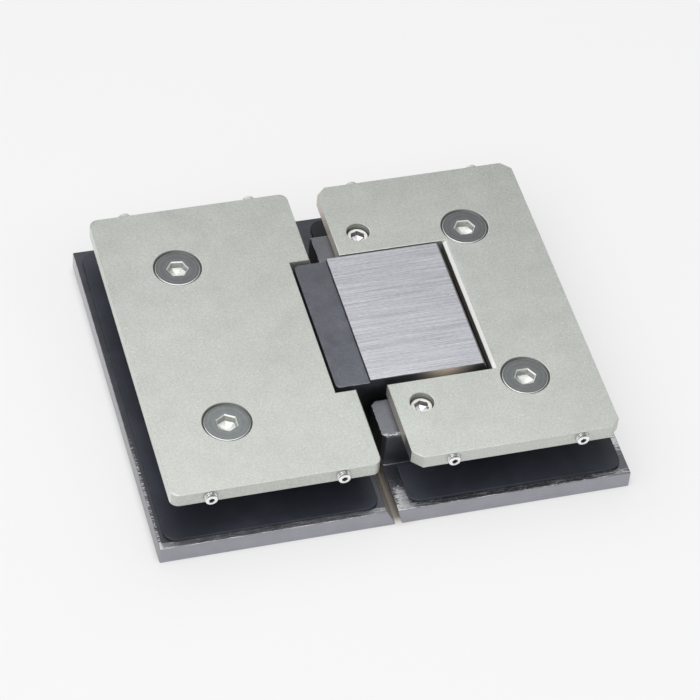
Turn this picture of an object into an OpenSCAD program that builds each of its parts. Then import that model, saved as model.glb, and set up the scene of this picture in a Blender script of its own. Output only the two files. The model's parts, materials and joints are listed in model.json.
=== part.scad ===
// Glass-to-glass door hinge, shown flat and without the covers of its clamp plates.
// The fixed leaf lies on the left and the door leaf on the right.
// X runs across both leaves, Y along the pivot pin and Z up from the outer faces.
// The origin is the middle of the closed hinge, on the plane of its outer faces.

/* [Overall] */
// Length of the closed hinge across both leaves
hinge_len = 105.5; // [105:0.5:112]
// Width of the outer plates along the pivot pin
hinge_w = 90; // [90:1:110]
// Distance from the middle of the hinge to the pivot axis
pivot_x = 9.25; // [9:0.05:9.5]

/* [Glass] */
// Thickness of the glass that each leaf clamps
glass_t = 8; // [8:0.5:10]
// Thickness of each gasket
gasket_t = 0.7; // [0.5:0.1:1]

/* [Outer plates] */
// Thickness of the outer plates
outer_t = 4.5; // [4.5:0.1:5.5]
// Length of the fixed outer plate at its outer face
fixed_outer_len = 52.3; // [52:0.1:52.4]
// How far the inner edge of the fixed plate slopes back
fixed_bevel = 2.15; // [2:0.05:2.4]
// Length of the door outer plate at its outer face
door_outer_len = 51.8; // [51.6:0.1:51.9]
// How far the top of the door plate's inner edge reaches past its foot
door_overhang = 1.3; // [1:0.1:1.4]

/* [Clamp plates] */
// Thickness of the clamp plates
clamp_t = 3.4; // [3:0.1:4]
// Inset of the clamp plates from the outer edge of each leaf
clamp_end_inset = 2.83; // [2.5:0.01:3.5]
// Inset of the fixed clamp plate from the sides of its leaf
fixed_side_inset = 3.2; // [3:0.1:4]
// Inset of the door clamp plate from the sides of its leaf
door_side_inset = 3; // [2.8:0.1:4]
// Length of the fixed clamp plate
fixed_clamp_len = 46.06; // [45.5:0.01:46.1]
// Length of the door clamp plate
door_clamp_len = 46.76; // [46:0.01:46.8]
// Corner radius of the fixed clamp plate
fixed_clamp_r = 2; // [1:0.1:3]
// Corner chamfer of the door clamp plate
door_clamp_chamfer = 2.2; // [1:0.1:3]
// Depth of the shallow notch in the fixed clamp plate
fixed_notch_len = 4.6; // [4.5:0.1:5]
// Depth of the deep notch in the door clamp plate
door_notch_len = 25.2; // [25:0.1:26]
// Width of the notches along the pivot pin
notch_w = 40.2; // [40:0.1:42]

/* [Clamp screws] */
// Distance of the fixed leaf's screws from its outer edge
fixed_screw_inset = 19.3; // [18:0.1:21]
// Distance of the door leaf's screws from its outer edge
door_screw_inset = 19.1; // [18:0.1:19.5]
// Distance between the two screws of a leaf
screw_pitch = 47; // [44:0.5:50]
// Thread diameter of the clamp screws
screw_d = 6; // [5:0.5:6]
// Diameter of the countersink at the plate's face
sink_d = 11.1; // [10.6:0.1:12]
// Depth of the screw heads below the plate's face
head_sunk = 0.35; // [0.2:0.05:0.5]
// Hexagon socket size of the clamp screws
hex_af = 4; // [3:0.5:4]
// Diameter of the threaded posts that pass through the glass
post_d = 9; // [8.5:0.1:10]
// Outer diameter of the sleeves between posts and glass
sleeve_d = 12; // [11.5:0.1:14]

/* [Pivot block] */
// Width of the block along the pivot pin
block_w = 37.75; // [37:0.05:38]
// Height of the block's raised face above the outer faces
block_top = 18.2; // [18:0.1:18.4]
// Radius of the block's round end about the pivot axis
block_r = 18.6; // [18.3:0.1:18.7]
// Distance from the pivot axis to the left edge of the raised face
block_face_left = 9.6; // [9.5:0.1:9.8]
// Length of the tail between the raised face and its free end
tail_len = 7.55; // [7:0.05:7.6]
// Corner radius of the tail
tail_r = 1.2; // [0.5:0.1:2]
// Length of the flange along the pivot pin
flange_w = 62.7; // [60:0.1:63]
// Distance from the pivot axis to the flange's free edge
flange_reach = 24; // [23:0.5:26]
// Radius of the hollow in the flange that the door leaf turns in
swing_r = 12.75; // [12.7:0.01:12.8]
// Distance between the two screws that fix the flange
block_screw_pitch = 49; // [46:0.5:50]

/* [Door lugs] */
// Distance from the pivot axis to the lugs' left ends
lug_left = 10.05; // [9.8:0.05:10.1]
// Distance from the pivot axis to the lugs' right ends
lug_right = 10; // [9:0.5:12]
// Distance between the lugs
lug_gap = 42.4; // [42:0.1:43]
// Width of each lug along the pivot pin
lug_w = 10.6; // [10:0.1:10.8]
// Chamfer of the lugs' upright corners
lug_corner = 1; // [0.5:0.1:1.5]
// Chamfer of the near lug's top edge
near_lug_chamfer = 0.3; // [0.2:0.1:1]
// Chamfer of the far lug's top edge
far_lug_chamfer = 1.9; // [1:0.1:2]
// Diameter of the access holes above the set screws
access_d = 5.4; // [5.2:0.1:6]

/* [Pivot pin and detent] */
// Diameter of the pivot pin
pin_d = 6; // [5.5:0.1:6]
// Distance across the flats of the pin's square detent
detent_af = 4.6; // [4.4:0.1:4.8]
// Length of the square detent along the pin
detent_len = 20.6; // [20.2:0.2:21]
// Outer diameter of the pin bushes and thrust washers
bush_d = 8.8; // [8.4:0.1:8.8]
// Length of the pin bushes
bush_len = 8; // [6:0.5:8]
// Diameter of the detent plungers
plunger_d = 6.6; // [6:0.1:7]
// Distance between the two detent plungers
plunger_pitch = 13; // [12:0.5:13]
// Length of the detent plungers
plunger_len = 5.8; // [5:0.1:6]
// Turns of each detent spring
spring_turns = 4.5; // [3.5:0.5:5]
// Wire diameter of the detent springs
spring_wire = 0.9; // [0.6:0.1:0.9]

/* [Cover screws] */
// Thread diameter of the cover screws in the clamp plates' edges
cover_screw_d = 3; // [2.5:0.5:3]
// Distance between the two cover screws of one edge
cover_screw_pitch = 29; // [26:0.5:32]
// Distance of the cover screws' heads from the sides of the leaf
cover_screw_inset = 1.9; // [1:0.1:2.5]

/* [Hidden] */

$fn = 64;
tiny = 0.01;
past = 1;
near = -1;
far = 1;
left = -1;
right = 1;

// Levels above the outer faces
glass_z0 = outer_t + gasket_t;
glass_z1 = glass_z0 + glass_t;
clamp_z0 = glass_z1 + gasket_t;
clamp_z1 = clamp_z0 + clamp_t;
pivot_z = glass_z0 + glass_t / 2;
metal_gap = 0.1;
lug_top = clamp_z0 - metal_gap;

// Places along X
end_left = -hinge_len / 2;
end_right = hinge_len / 2;
fixed_edge = end_left + fixed_outer_len;
door_edge = end_right - door_outer_len;
fixed_clamp_x0 = end_left + clamp_end_inset;
fixed_clamp_x1 = fixed_clamp_x0 + fixed_clamp_len;
door_clamp_x1 = end_right - clamp_end_inset;
door_clamp_x0 = door_clamp_x1 - door_clamp_len;
door_notch_x = door_clamp_x0 + door_notch_len;
fixed_screw_x = end_left + fixed_screw_inset;
door_screw_x = end_right - door_screw_inset;
face_x0 = pivot_x - block_face_left;
tail_x0 = face_x0 - tail_len;
flange_x0 = pivot_x - flange_reach;
lug_x0 = pivot_x - lug_left;
lug_x1 = pivot_x + lug_right;

// Places along Y, counted from the middle
plate_y = hinge_w / 2;
screw_y = screw_pitch / 2;
notch_y = notch_w / 2;
block_y = block_w / 2;
flange_y = flange_w / 2;
lug_y0 = lug_gap / 2;
lug_y1 = lug_y0 + lug_w;
set_screw_y = (lug_y0 + lug_y1) / 2;
plunger_y = plunger_pitch / 2;

// Fits, radii and small clearances
thread_gap = 0.05;
slide_gap = 0.05;
shank_gap = 0.2;
sleeve_gap = 0.1;
hole_gap = 0.2;
pin_bore_gap = 0.4;
screw_r = screw_d / 2 - thread_gap;
shank_hole_r = screw_d / 2 + shank_gap;
pin_r = pin_d / 2;
bush_r = bush_d / 2;
bush_wall_gap = 0.02;
plunger_r = plunger_d / 2;
detent_bore_r = plunger_r + slide_gap;
plunger_travel = pin_r - detent_af / 2;
plunger_x0 = pivot_x + pin_r + metal_gap;
plunger_x1 = plunger_x0 + plunger_len;
plug_len = 3.5;
plug_sunk = 0.7;
plug_hex_af = 3;
plug_socket = 2;
plug_x1 = pivot_x + block_r - plug_sunk;
plug_x0 = plug_x1 - plug_len;
gasket_inset = 1.5;
gasket_r = 2.8;
gasket_setback = 3;
gasket_room = 1;
door_gasket_x0 = door_edge - door_overhang + gasket_setback;
inner_gasket_inset = 2;
cut_past = 5;

// Screw forms
head_rim = 0.1;
head_gap = 0.02;
head_r = sink_d / 2 - head_sunk - head_rim - head_gap;
head_z = clamp_z1 - head_sunk;
bore_floor = 1.6;
post_short = 0.3;
post_top = glass_z1 - post_short;
tip_gap = 0.8;
clamp_screw_tip = bore_floor + tip_gap;
hex_depth = 2.4;
hex_mouth_r = 2.55;
hex_mouth_h = 0.5;
tip_chamfer = 0.4;
set_screw_r = 2.45;
set_screw_top = 16;
set_screw_hex_af = 3;
set_screw_turn = [30, 20];
pin_flat = 1;
cover_screw_len = 5;
cover_hole_len = 6;
cover_screw_z = clamp_z0 + clamp_t / 2;
cover_screw_hex_af = 1.5;
block_screw_head_r = 5;
block_screw_inset = 5.4;
block_screw_x = flange_x0 + block_screw_inset;
block_screw_y = block_screw_pitch / 2;
block_screw_sunk = 0.3;
block_screw_top = lug_top - block_screw_sunk;
block_screw_floor = 1;
block_screw_tip = block_screw_floor + tip_gap;

// Radius of the corners of a hexagon, from the distance across its flats
function hex_r(af) = af / 2 / cos(30);

// Half the width of the clamp plate on one leaf
function clamp_y(leaf) = plate_y - (leaf == left ? fixed_side_inset : door_side_inset);

// Middle of a clamp plate on one leaf, for the cover screws
function clamp_mid(leaf) =
    leaf == left ? (fixed_clamp_x0 + fixed_clamp_x1) / 2 : (door_clamp_x0 + door_clamp_x1) / 2;

// Box between two opposite corners
module block_between(low, high) {
    translate(low) cube(high - low);
}

// Outline in X and Z, carried along Y
module along_y(y0, y1) {
    translate([0, y1, 0]) rotate([90, 0, 0]) linear_extrude(height = y1 - y0) children();
}

// Round bar along Y
module bar_y(r, x, z, y0, y1) {
    translate([x, y0, z]) rotate([-90, 0, 0]) cylinder(r = r, h = y1 - y0);
}

// Round bar along X
module bar_x(r, y, z, x0, x1) {
    translate([x0, y, z]) rotate([0, 90, 0]) cylinder(r = r, h = x1 - x0);
}

// Rectangle with round corners
module round_rect(x0, x1, y0, y1, r) {
    translate([x0 + r, y0]) square([x1 - x0 - 2 * r, y1 - y0]);
    translate([x0, y0 + r]) square([x1 - x0, y1 - y0 - 2 * r]);
    for (x = [x0 + r, x1 - r], y = [y0 + r, y1 - r])
        translate([x, y]) circle(r = r);
}

// Rectangle with cut corners
module cut_rect(x0, x1, y0, y1, c) {
    polygon([
        [x0 + c, y0], [x1 - c, y0], [x1, y0 + c], [x1, y1 - c],
        [x1 - c, y1], [x0 + c, y1], [x0, y1 - c], [x0, y0 + c],
    ]);
}

// Room that the gaskets leave round the flange of the pivot block
module flange_room() {
    y = flange_y + gasket_room;
    translate([flange_x0 - gasket_room, -y]) square([flange_reach + cut_past, 2 * y]);
}

// Room that the gaskets leave round the lugs and the pivot block
module lug_room() {
    x0 = door_edge - cut_past;
    lug_side = lug_y1 + gasket_room;
    block_side = notch_y + gasket_room;
    translate([x0, -lug_side]) square([lug_x1 + gasket_room - x0, 2 * lug_side]);
    translate([x0, -block_side]) square([door_notch_x + gasket_room - x0, 2 * block_side]);
}

// Threaded posts on an outer plate, without their bores
module posts(x) {
    for (side = [near, far])
        translate([x, side * screw_y, outer_t - tiny]) cylinder(d = post_d, h = post_top - outer_t + tiny);
}

// Blind thread bores of the posts
module post_bores(x) {
    for (side = [near, far])
        translate([x, side * screw_y, bore_floor]) cylinder(d = screw_d, h = post_top);
}

// Countersunk clearance holes of a clamp plate
module sunk_holes(x) {
    sink_r = sink_d / 2;
    sink_h = sink_r - shank_hole_r;
    for (side = [near, far])
        translate([x, side * screw_y, 0]) {
            translate([0, 0, clamp_z0 - past]) cylinder(r = shank_hole_r, h = clamp_t + 2 * past);
            translate([0, 0, clamp_z1 - sink_h]) cylinder(r1 = shank_hole_r, r2 = sink_r, h = sink_h);
            translate([0, 0, clamp_z1]) cylinder(r = sink_r, h = past);
        }
}

// Threaded holes for the cover screws in both long edges of a clamp plate
module cover_holes(leaf) {
    for (side = [near, far], end = [left, right]) {
        x = clamp_mid(leaf) + end * cover_screw_pitch / 2;
        y_out = side * (clamp_y(leaf) + past);
        y_in = side * (clamp_y(leaf) - cover_hole_len);
        bar_y(cover_screw_d / 2, x, cover_screw_z, min(y_in, y_out), max(y_in, y_out));
    }
}

// Flat rubber gasket between an outline and the holes for the posts
module gasket(z, x, hole_r) {
    color([0.13, 0.14, 0.17])
    difference() {
        translate([0, 0, z]) linear_extrude(height = gasket_t) children();
        for (side = [near, far])
            translate([x, side * screw_y, z - past]) cylinder(r = hole_r, h = gasket_t + 2 * past);
    }
}

// Countersunk clamp screw with a hexagon socket
module clamp_screw(x, side, turn) {
    cone_foot = head_z - head_rim - (head_r - screw_r);
    color([0.42, 0.43, 0.44])
    translate([x, side * screw_y, 0])
    difference() {
        rotate_extrude() polygon([
            [0, clamp_screw_tip], [screw_r - tip_chamfer, clamp_screw_tip],
            [screw_r, clamp_screw_tip + tip_chamfer], [screw_r, cone_foot],
            [head_r, head_z - head_rim], [head_r, head_z], [0, head_z],
        ]);
        rotate([0, 0, turn]) translate([0, 0, head_z - hex_depth])
            cylinder(r = hex_r(hex_af), h = hex_depth + past, $fn = 6);
        translate([0, 0, head_z - hex_mouth_h])
            cylinder(r1 = hex_mouth_r - hex_mouth_h, r2 = hex_mouth_r, h = hex_mouth_h);
        translate([0, 0, head_z]) cylinder(r = hex_mouth_r, h = past);
    }
}

// Plastic sleeve that keeps the glass off a post
module sleeve(x, side) {
    color([0.75, 0.75, 0.72])
    translate([x, side * screw_y, glass_z0])
    difference() {
        cylinder(d = sleeve_d, h = glass_t);
        translate([0, 0, -past]) cylinder(r = post_d / 2 + sleeve_gap, h = glass_t + 2 * past);
    }
}

// Grub screw that holds the missing cover to the edge of a clamp plate
module cover_screw(leaf, side, end) {
    r = cover_screw_d / 2 - thread_gap;
    socket_depth = 1.2;
    rim = 0.25;
    x = clamp_mid(leaf) + end * cover_screw_pitch / 2;
    color([0.78, 0.8, 0.76])
    translate([x, side * (plate_y - cover_screw_inset), cover_screw_z])
    rotate([side == near ? -90 : 90, 0, 0])
    difference() {
        rotate_extrude() polygon([
            [0, 0], [r - rim, 0], [r, rim], [r, cover_screw_len - rim], [r - rim, cover_screw_len],
            [0, cover_screw_len],
        ]);
        translate([0, 0, -past]) cylinder(r = hex_r(cover_screw_hex_af), h = socket_depth + past, $fn = 6);
    }
}

// Outer plate of the fixed leaf: a sloped slab with two threaded posts
module fixed_outer_plate() {
    color([0.45, 0.45, 0.49])
    difference() {
        union() {
            along_y(-plate_y, plate_y) polygon([
                [end_left, 0], [fixed_edge, 0], [fixed_edge - fixed_bevel, outer_t], [end_left, outer_t],
            ]);
            posts(fixed_screw_x);
        }
        post_bores(fixed_screw_x);
        for (side = [near, far])
            translate([block_screw_x, side * block_screw_y, block_screw_floor])
                cylinder(r = screw_d / 2, h = outer_t);
    }
}

// Gasket under the fixed glass
module fixed_outer_gasket() {
    y = plate_y - gasket_inset;
    gasket(outer_t, fixed_screw_x, sleeve_d / 2 + hole_gap)
    difference() {
        round_rect(end_left + gasket_inset, fixed_clamp_x1, -y, y, gasket_r);
        flange_room();
    }
}

// Gasket over the fixed glass
module fixed_inner_gasket() {
    i = inner_gasket_inset;
    y = clamp_y(left) - i;
    gasket(glass_z1, fixed_screw_x, post_d / 2 + hole_gap)
    difference() {
        round_rect(fixed_clamp_x0 + i, fixed_clamp_x1 - i, -y, y, gasket_r);
        flange_room();
    }
}

// Clamp plate of the fixed leaf, with round corners and a shallow notch for the block's tail
module fixed_clamp_plate() {
    color([0.74, 0.76, 0.73])
    difference() {
        translate([0, 0, clamp_z0]) linear_extrude(height = clamp_t) difference() {
            round_rect(fixed_clamp_x0, fixed_clamp_x1, -clamp_y(left), clamp_y(left), fixed_clamp_r);
            translate([fixed_clamp_x1 - fixed_notch_len, -notch_y])
                square([fixed_notch_len + past, notch_w]);
        }
        sunk_holes(fixed_screw_x);
        cover_holes(left);
    }
}

// T-shaped pivot block: body with a round end, tail and flange, bored for the pin and the detent
module pivot_block() {
    bush_depth = bush_len + metal_gap;
    y_cut = block_y + past;
    sink_r = block_screw_head_r + thread_gap;
    sink_h = sink_r - shank_hole_r;
    color([0.5, 0.5, 0.53])
    difference() {
        union() {
            intersection() {
                block_between([pivot_x, -block_y, 0], [pivot_x + block_r + past, block_y, block_top]);
                bar_y(block_r, pivot_x, pivot_z, -block_y, block_y);
            }
            block_between([face_x0, -block_y, 0], [pivot_x + tiny, block_y, block_top]);
            translate([0, 0, lug_top]) linear_extrude(height = clamp_z1 - lug_top)
                round_rect(tail_x0, face_x0 + 2 * tail_r, -block_y, block_y, tail_r);
            block_between([fixed_edge - fixed_bevel - past, -block_y, outer_t],
                          [face_x0 + past, block_y, clamp_z0]);
            difference() {
                block_between([flange_x0, -flange_y, outer_t], [fixed_edge, flange_y, lug_top]);
                bar_y(swing_r, pivot_x, pivot_z, -flange_y - past, flange_y + past);
            }
        }
        bar_y(pin_r + pin_bore_gap, pivot_x, pivot_z, -y_cut, y_cut);
        bar_y(bush_r, pivot_x, pivot_z, -y_cut, -block_y + bush_depth);
        bar_y(bush_r, pivot_x, pivot_z, block_y - bush_depth, y_cut);
        for (side = [near, far])
            bar_x(detent_bore_r, side * plunger_y, pivot_z, pivot_x, pivot_x + block_r + past);
        for (side = [near, far])
            translate([block_screw_x, side * block_screw_y, 0]) {
                cylinder(r = shank_hole_r, h = lug_top + past);
                translate([0, 0, block_screw_top - sink_h])
                    cylinder(r1 = shank_hole_r, r2 = sink_r, h = sink_h);
                translate([0, 0, block_screw_top]) cylinder(r = sink_r, h = past);
            }
    }
}

// Countersunk screw that fixes the flange of the block to the fixed outer plate
module block_screw(side) {
    cone_foot = block_screw_top - (block_screw_head_r - screw_r);
    color([0.42, 0.43, 0.44])
    translate([block_screw_x, side * block_screw_y, 0])
    difference() {
        rotate_extrude() polygon([
            [0, block_screw_tip], [screw_r - tip_chamfer, block_screw_tip],
            [screw_r, block_screw_tip + tip_chamfer], [screw_r, cone_foot],
            [block_screw_head_r, block_screw_top], [0, block_screw_top],
        ]);
        translate([0, 0, block_screw_top - hex_depth])
            cylinder(r = hex_r(hex_af), h = hex_depth + past, $fn = 6);
    }
}

// Plain bush that the pin turns in
module pin_bush(side) {
    y0 = side == near ? -block_y : block_y - bush_len;
    color([0.72, 0.58, 0.32])
    difference() {
        bar_y(bush_r - bush_wall_gap, pivot_x, pivot_z, y0, y0 + bush_len);
        bar_y(pin_r + slide_gap, pivot_x, pivot_z, y0 - past, y0 + bush_len + past);
    }
}

// Washer between a lug and the block
module thrust_washer(side) {
    t = lug_y0 - block_y - metal_gap;
    y0 = side == near ? -block_y - t : block_y;
    color([0.9, 0.9, 0.86])
    difference() {
        bar_y(bush_r, pivot_x, pivot_z, y0, y0 + t);
        bar_y(pin_r + slide_gap, pivot_x, pivot_z, y0 - past, y0 + t + past);
    }
}

// Plunger that presses on the flats of the pin, drawn pushed back by its full travel
module plunger(side) {
    chamfer = 0.5;
    color([0.62, 0.63, 0.64])
    translate([plunger_x0, side * plunger_y, pivot_z]) rotate([0, 90, 0])
    rotate_extrude() polygon([
        [0, 0], [plunger_r - chamfer, 0], [plunger_r, chamfer], [plunger_r, plunger_len],
        [0, plunger_len],
    ]);
}

// Ring of points on the wire of a spring, at an angle along its helix
function wire_ring(turn, pitch, coil_r, wire_r, sides) = [
    for (i = [0:sides - 1])
        let (
            a = 360 * i / sides,
            r = coil_r + wire_r * cos(a)
        )
        [pitch * turn / 360 + wire_r * sin(a), r * cos(turn), r * sin(turn)]
];

// Coil spring along X, one wire swept round a helix
module coil_spring(x0, x1, coil_r, wire_d, turns, y) {
    sides = 6;
    steps = 14;
    wire_r = wire_d / 2;
    pitch = (x1 - x0 - wire_d) / turns;
    count = turns * steps;
    rings = [for (k = [0:count]) wire_ring(360 * k / steps, pitch, coil_r, wire_r, sides)];
    points = [for (ring = rings, p = ring) p];
    skin = [
        for (k = [0:count - 1], i = [0:sides - 1])
            let (
                j = (i + 1) % sides,
                a = k * sides,
                b = a + sides
            )
            each [[a + i, b + j, a + j], [a + i, b + i, b + j]]
    ];
    ends = [[for (i = [0:sides - 1]) i], [for (i = [sides - 1:-1:0]) count * sides + i]];
    translate([x0 + wire_r, y, pivot_z]) polyhedron(points = points, faces = concat(skin, ends));
}

// Spring behind a plunger
module detent_spring(side) {
    bore_gap = 0.3;
    coil_r = plunger_r - spring_wire / 2 - bore_gap;
    color([0.55, 0.56, 0.58])
    coil_spring(plunger_x1 + metal_gap, plug_x0 - metal_gap, coil_r, spring_wire, spring_turns,
                side * plunger_y);
}

// Grub screw that closes a detent bore and sets the spring
module spring_plug(side) {
    r = detent_bore_r - thread_gap;
    rim = 0.4;
    color([0.42, 0.43, 0.44])
    translate([plug_x0, side * plunger_y, pivot_z]) rotate([0, 90, 0])
    difference() {
        rotate_extrude() polygon([
            [0, 0], [r - rim, 0], [r, rim], [r, plug_len - rim], [r - rim, plug_len], [0, plug_len],
        ]);
        translate([0, 0, plug_len - plug_socket])
            cylinder(r = hex_r(plug_hex_af), h = plug_socket + past, $fn = 6);
    }
}

// Lug of the door outer plate, with cut corners and a chamfered top edge
module lug(side) {
    c = side == near ? near_lug_chamfer : far_lug_chamfer;
    y_in = side * lug_y0;
    y_out = side * lug_y1;
    intersection() {
        translate([0, 0, outer_t - tiny]) linear_extrude(height = lug_top - outer_t + tiny)
            cut_rect(lug_x0, lug_x1, min(y_in, y_out), max(y_in, y_out), lug_corner);
        translate([lug_x0 - past, 0, 0]) rotate([90, 0, 90])
            linear_extrude(height = lug_x1 - lug_x0 + 2 * past)
            polygon([
                [y_out, 0], [y_out, lug_top - c], [y_out - side * c, lug_top], [y_in, lug_top], [y_in, 0],
            ]);
    }
}

// Outer plate of the door leaf: a notched slab with two lugs and two threaded posts
module door_outer_plate() {
    color([0.45, 0.45, 0.49])
    difference() {
        union() {
            difference() {
                along_y(-plate_y, plate_y) polygon([
                    [door_edge, 0], [end_right, 0], [end_right, outer_t],
                    [door_edge - door_overhang, outer_t],
                ]);
                block_between([door_edge - cut_past, -notch_y, -past],
                              [door_notch_x, notch_y, outer_t + past]);
            }
            posts(door_screw_x);
            lug(near);
            lug(far);
        }
        post_bores(door_screw_x);
        bar_y(pin_r + bush_wall_gap, pivot_x, pivot_z, -lug_y1 - past, lug_y1 + past);
        for (side = [near, far])
            translate([pivot_x, side * set_screw_y, pivot_z])
                cylinder(r = set_screw_r + thread_gap, h = lug_top);
    }
}

// Gasket under the door glass
module door_outer_gasket() {
    y = plate_y - gasket_inset;
    gasket(outer_t, door_screw_x, sleeve_d / 2 + hole_gap)
    difference() {
        round_rect(door_gasket_x0, end_right - gasket_inset, -y, y, gasket_r);
        lug_room();
    }
}

// Gasket over the door glass
module door_inner_gasket() {
    i = inner_gasket_inset;
    y = clamp_y(right) - i;
    gasket(glass_z1, door_screw_x, post_d / 2 + hole_gap)
    difference() {
        round_rect(door_clamp_x0 + i, door_clamp_x1 - i, -y, y, gasket_r);
        lug_room();
    }
}

// Clamp plate of the door leaf, with cut corners, a deep notch and two access holes
module door_clamp_plate() {
    color([0.74, 0.76, 0.73])
    difference() {
        translate([0, 0, clamp_z0]) linear_extrude(height = clamp_t) difference() {
            cut_rect(door_clamp_x0, door_clamp_x1, -clamp_y(right), clamp_y(right), door_clamp_chamfer);
            translate([door_clamp_x0 - past, -notch_y]) square([door_notch_len + past, notch_w]);
        }
        sunk_holes(door_screw_x);
        cover_holes(right);
        for (side = [near, far])
            translate([pivot_x, side * set_screw_y, clamp_z0 - past])
                cylinder(d = access_d, h = clamp_t + 2 * past);
    }
}

// Straight pivot pin with a square detent in the middle and a flat for each set screw
module pivot_pin() {
    c = 0.4;
    end_y = lug_y1 - c;
    half = detent_af / 2;
    flat_y = 3.2;
    color([0.7, 0.7, 0.72])
    difference() {
        translate([pivot_x, -end_y, pivot_z]) rotate([-90, 0, 0])
            rotate_extrude() polygon([
                [0, 0], [pin_r - c, 0], [pin_r, c], [pin_r, 2 * end_y - c], [pin_r - c, 2 * end_y],
                [0, 2 * end_y],
            ]);
        for (turn = [0, 90, 180, 270])
            translate([pivot_x, 0, pivot_z]) rotate([0, turn, 0])
                block_between([-pin_d, -detent_len / 2, half], [pin_d, detent_len / 2, pin_d]);
        for (side = [near, far])
            block_between([pivot_x - pin_d, side * set_screw_y - flat_y, pivot_z + pin_r - pin_flat],
                          [pivot_x + pin_d, side * set_screw_y + flat_y, pivot_z + pin_d]);
    }
}

// Set screw that locks the pin in a lug
module pin_set_screw(side) {
    z0 = pivot_z + pin_r - pin_flat;
    rim = 0.35;
    r = set_screw_r;
    socket_depth = 2.2;
    mouth_r = hex_r(set_screw_hex_af) + 0.2;
    mouth_h = 0.4;
    color([0.75, 0.75, 0.74])
    translate([pivot_x, side * set_screw_y, 0])
    difference() {
        rotate_extrude() polygon([
            [0, z0], [r - 2 * rim, z0], [r, z0 + 2 * rim], [r, set_screw_top - rim],
            [r - rim, set_screw_top], [0, set_screw_top],
        ]);
        rotate([0, 0, set_screw_turn[side == near ? 0 : 1]]) translate([0, 0, set_screw_top - socket_depth])
            cylinder(r = hex_r(set_screw_hex_af), h = socket_depth + past, $fn = 6);
        translate([0, 0, set_screw_top - mouth_h])
            cylinder(r1 = mouth_r - mouth_h, r2 = mouth_r, h = mouth_h);
        translate([0, 0, set_screw_top]) cylinder(r = mouth_r, h = past);
    }
}

fixed_outer_plate();
fixed_outer_gasket();
fixed_inner_gasket();
fixed_clamp_plate();
clamp_screw(fixed_screw_x, near, 30);  // fixed_clamp_screw_near
clamp_screw(fixed_screw_x, far, -7);  // fixed_clamp_screw_far
sleeve(fixed_screw_x, near);  // fixed_sleeve_near
sleeve(fixed_screw_x, far);  // fixed_sleeve_far
cover_screw(left, near, left);  // fixed_cover_screw_near_left
cover_screw(left, near, right);  // fixed_cover_screw_near_right
cover_screw(left, far, left);  // fixed_cover_screw_far_left
cover_screw(left, far, right);  // fixed_cover_screw_far_right
pivot_block();
block_screw(near);  // block_screw_near
block_screw(far);  // block_screw_far
pin_bush(near);  // pin_bush_near
pin_bush(far);  // pin_bush_far
thrust_washer(near);  // thrust_washer_near
thrust_washer(far);  // thrust_washer_far
plunger(near);  // plunger_near
plunger(far);  // plunger_far
detent_spring(near);  // detent_spring_near
detent_spring(far);  // detent_spring_far
spring_plug(near);  // spring_plug_near
spring_plug(far);  // spring_plug_far
door_outer_plate();
door_outer_gasket();
door_inner_gasket();
door_clamp_plate();
clamp_screw(door_screw_x, near, 0);  // door_clamp_screw_near
clamp_screw(door_screw_x, far, -4);  // door_clamp_screw_far
sleeve(door_screw_x, near);  // door_sleeve_near
sleeve(door_screw_x, far);  // door_sleeve_far
cover_screw(right, near, left);  // door_cover_screw_near_left
cover_screw(right, near, right);  // door_cover_screw_near_right
cover_screw(right, far, left);  // door_cover_screw_far_left
cover_screw(right, far, right);  // door_cover_screw_far_right
pivot_pin();
pin_set_screw(near);  // pin_set_screw_near
pin_set_screw(far);  // pin_set_screw_far
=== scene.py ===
"""Looks of a glass-to-glass door hinge that lies flat, without the covers of its clamp plates.

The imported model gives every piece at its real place. This script rounds the edges of the plates
and the pivot block, turns the screws, springs, bushes and other round pieces as finer surfaces,
gives each piece its finish, and sets the floor, the light and the camera. X runs across both
leaves, Y along the pivot pin and Z up. Lengths are in millimetres unless a name says otherwise.
"""
import json
import logging
import math
from dataclasses import dataclass, field
from enum import Enum

import bmesh
import bpy
import numpy as np
from mathutils import Matrix, Vector
from mathutils.geometry import delaunay_2d_cdt


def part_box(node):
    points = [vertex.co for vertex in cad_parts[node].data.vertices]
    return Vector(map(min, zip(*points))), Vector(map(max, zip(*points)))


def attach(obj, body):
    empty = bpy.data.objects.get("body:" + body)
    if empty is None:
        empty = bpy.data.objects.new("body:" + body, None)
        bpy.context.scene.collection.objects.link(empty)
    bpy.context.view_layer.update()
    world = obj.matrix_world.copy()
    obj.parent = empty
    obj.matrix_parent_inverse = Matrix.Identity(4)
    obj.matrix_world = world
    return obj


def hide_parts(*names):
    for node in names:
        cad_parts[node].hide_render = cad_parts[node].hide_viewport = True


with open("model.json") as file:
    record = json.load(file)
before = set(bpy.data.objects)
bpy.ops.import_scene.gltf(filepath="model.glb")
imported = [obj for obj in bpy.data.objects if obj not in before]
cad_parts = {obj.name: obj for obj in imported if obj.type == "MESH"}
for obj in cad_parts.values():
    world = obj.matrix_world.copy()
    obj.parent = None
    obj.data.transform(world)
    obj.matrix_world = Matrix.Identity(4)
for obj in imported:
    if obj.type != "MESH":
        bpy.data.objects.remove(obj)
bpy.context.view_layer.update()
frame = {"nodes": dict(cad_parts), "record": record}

LOG = logging.getLogger("hinge")
MM = 0.001
MERGE_M = 1e-7
SAME_MM = 1e-6
ON_WALL_MM = 1e-3
# A face is part of a rounded edge where the upward part of its direction is near this value.
EDGE_TILT = 0.7
EDGE_REACH = 0.28
# Two faces that meet at a larger angle, in degrees, have a sharp line between them.
SHARP_ANGLE = 40.0
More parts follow.
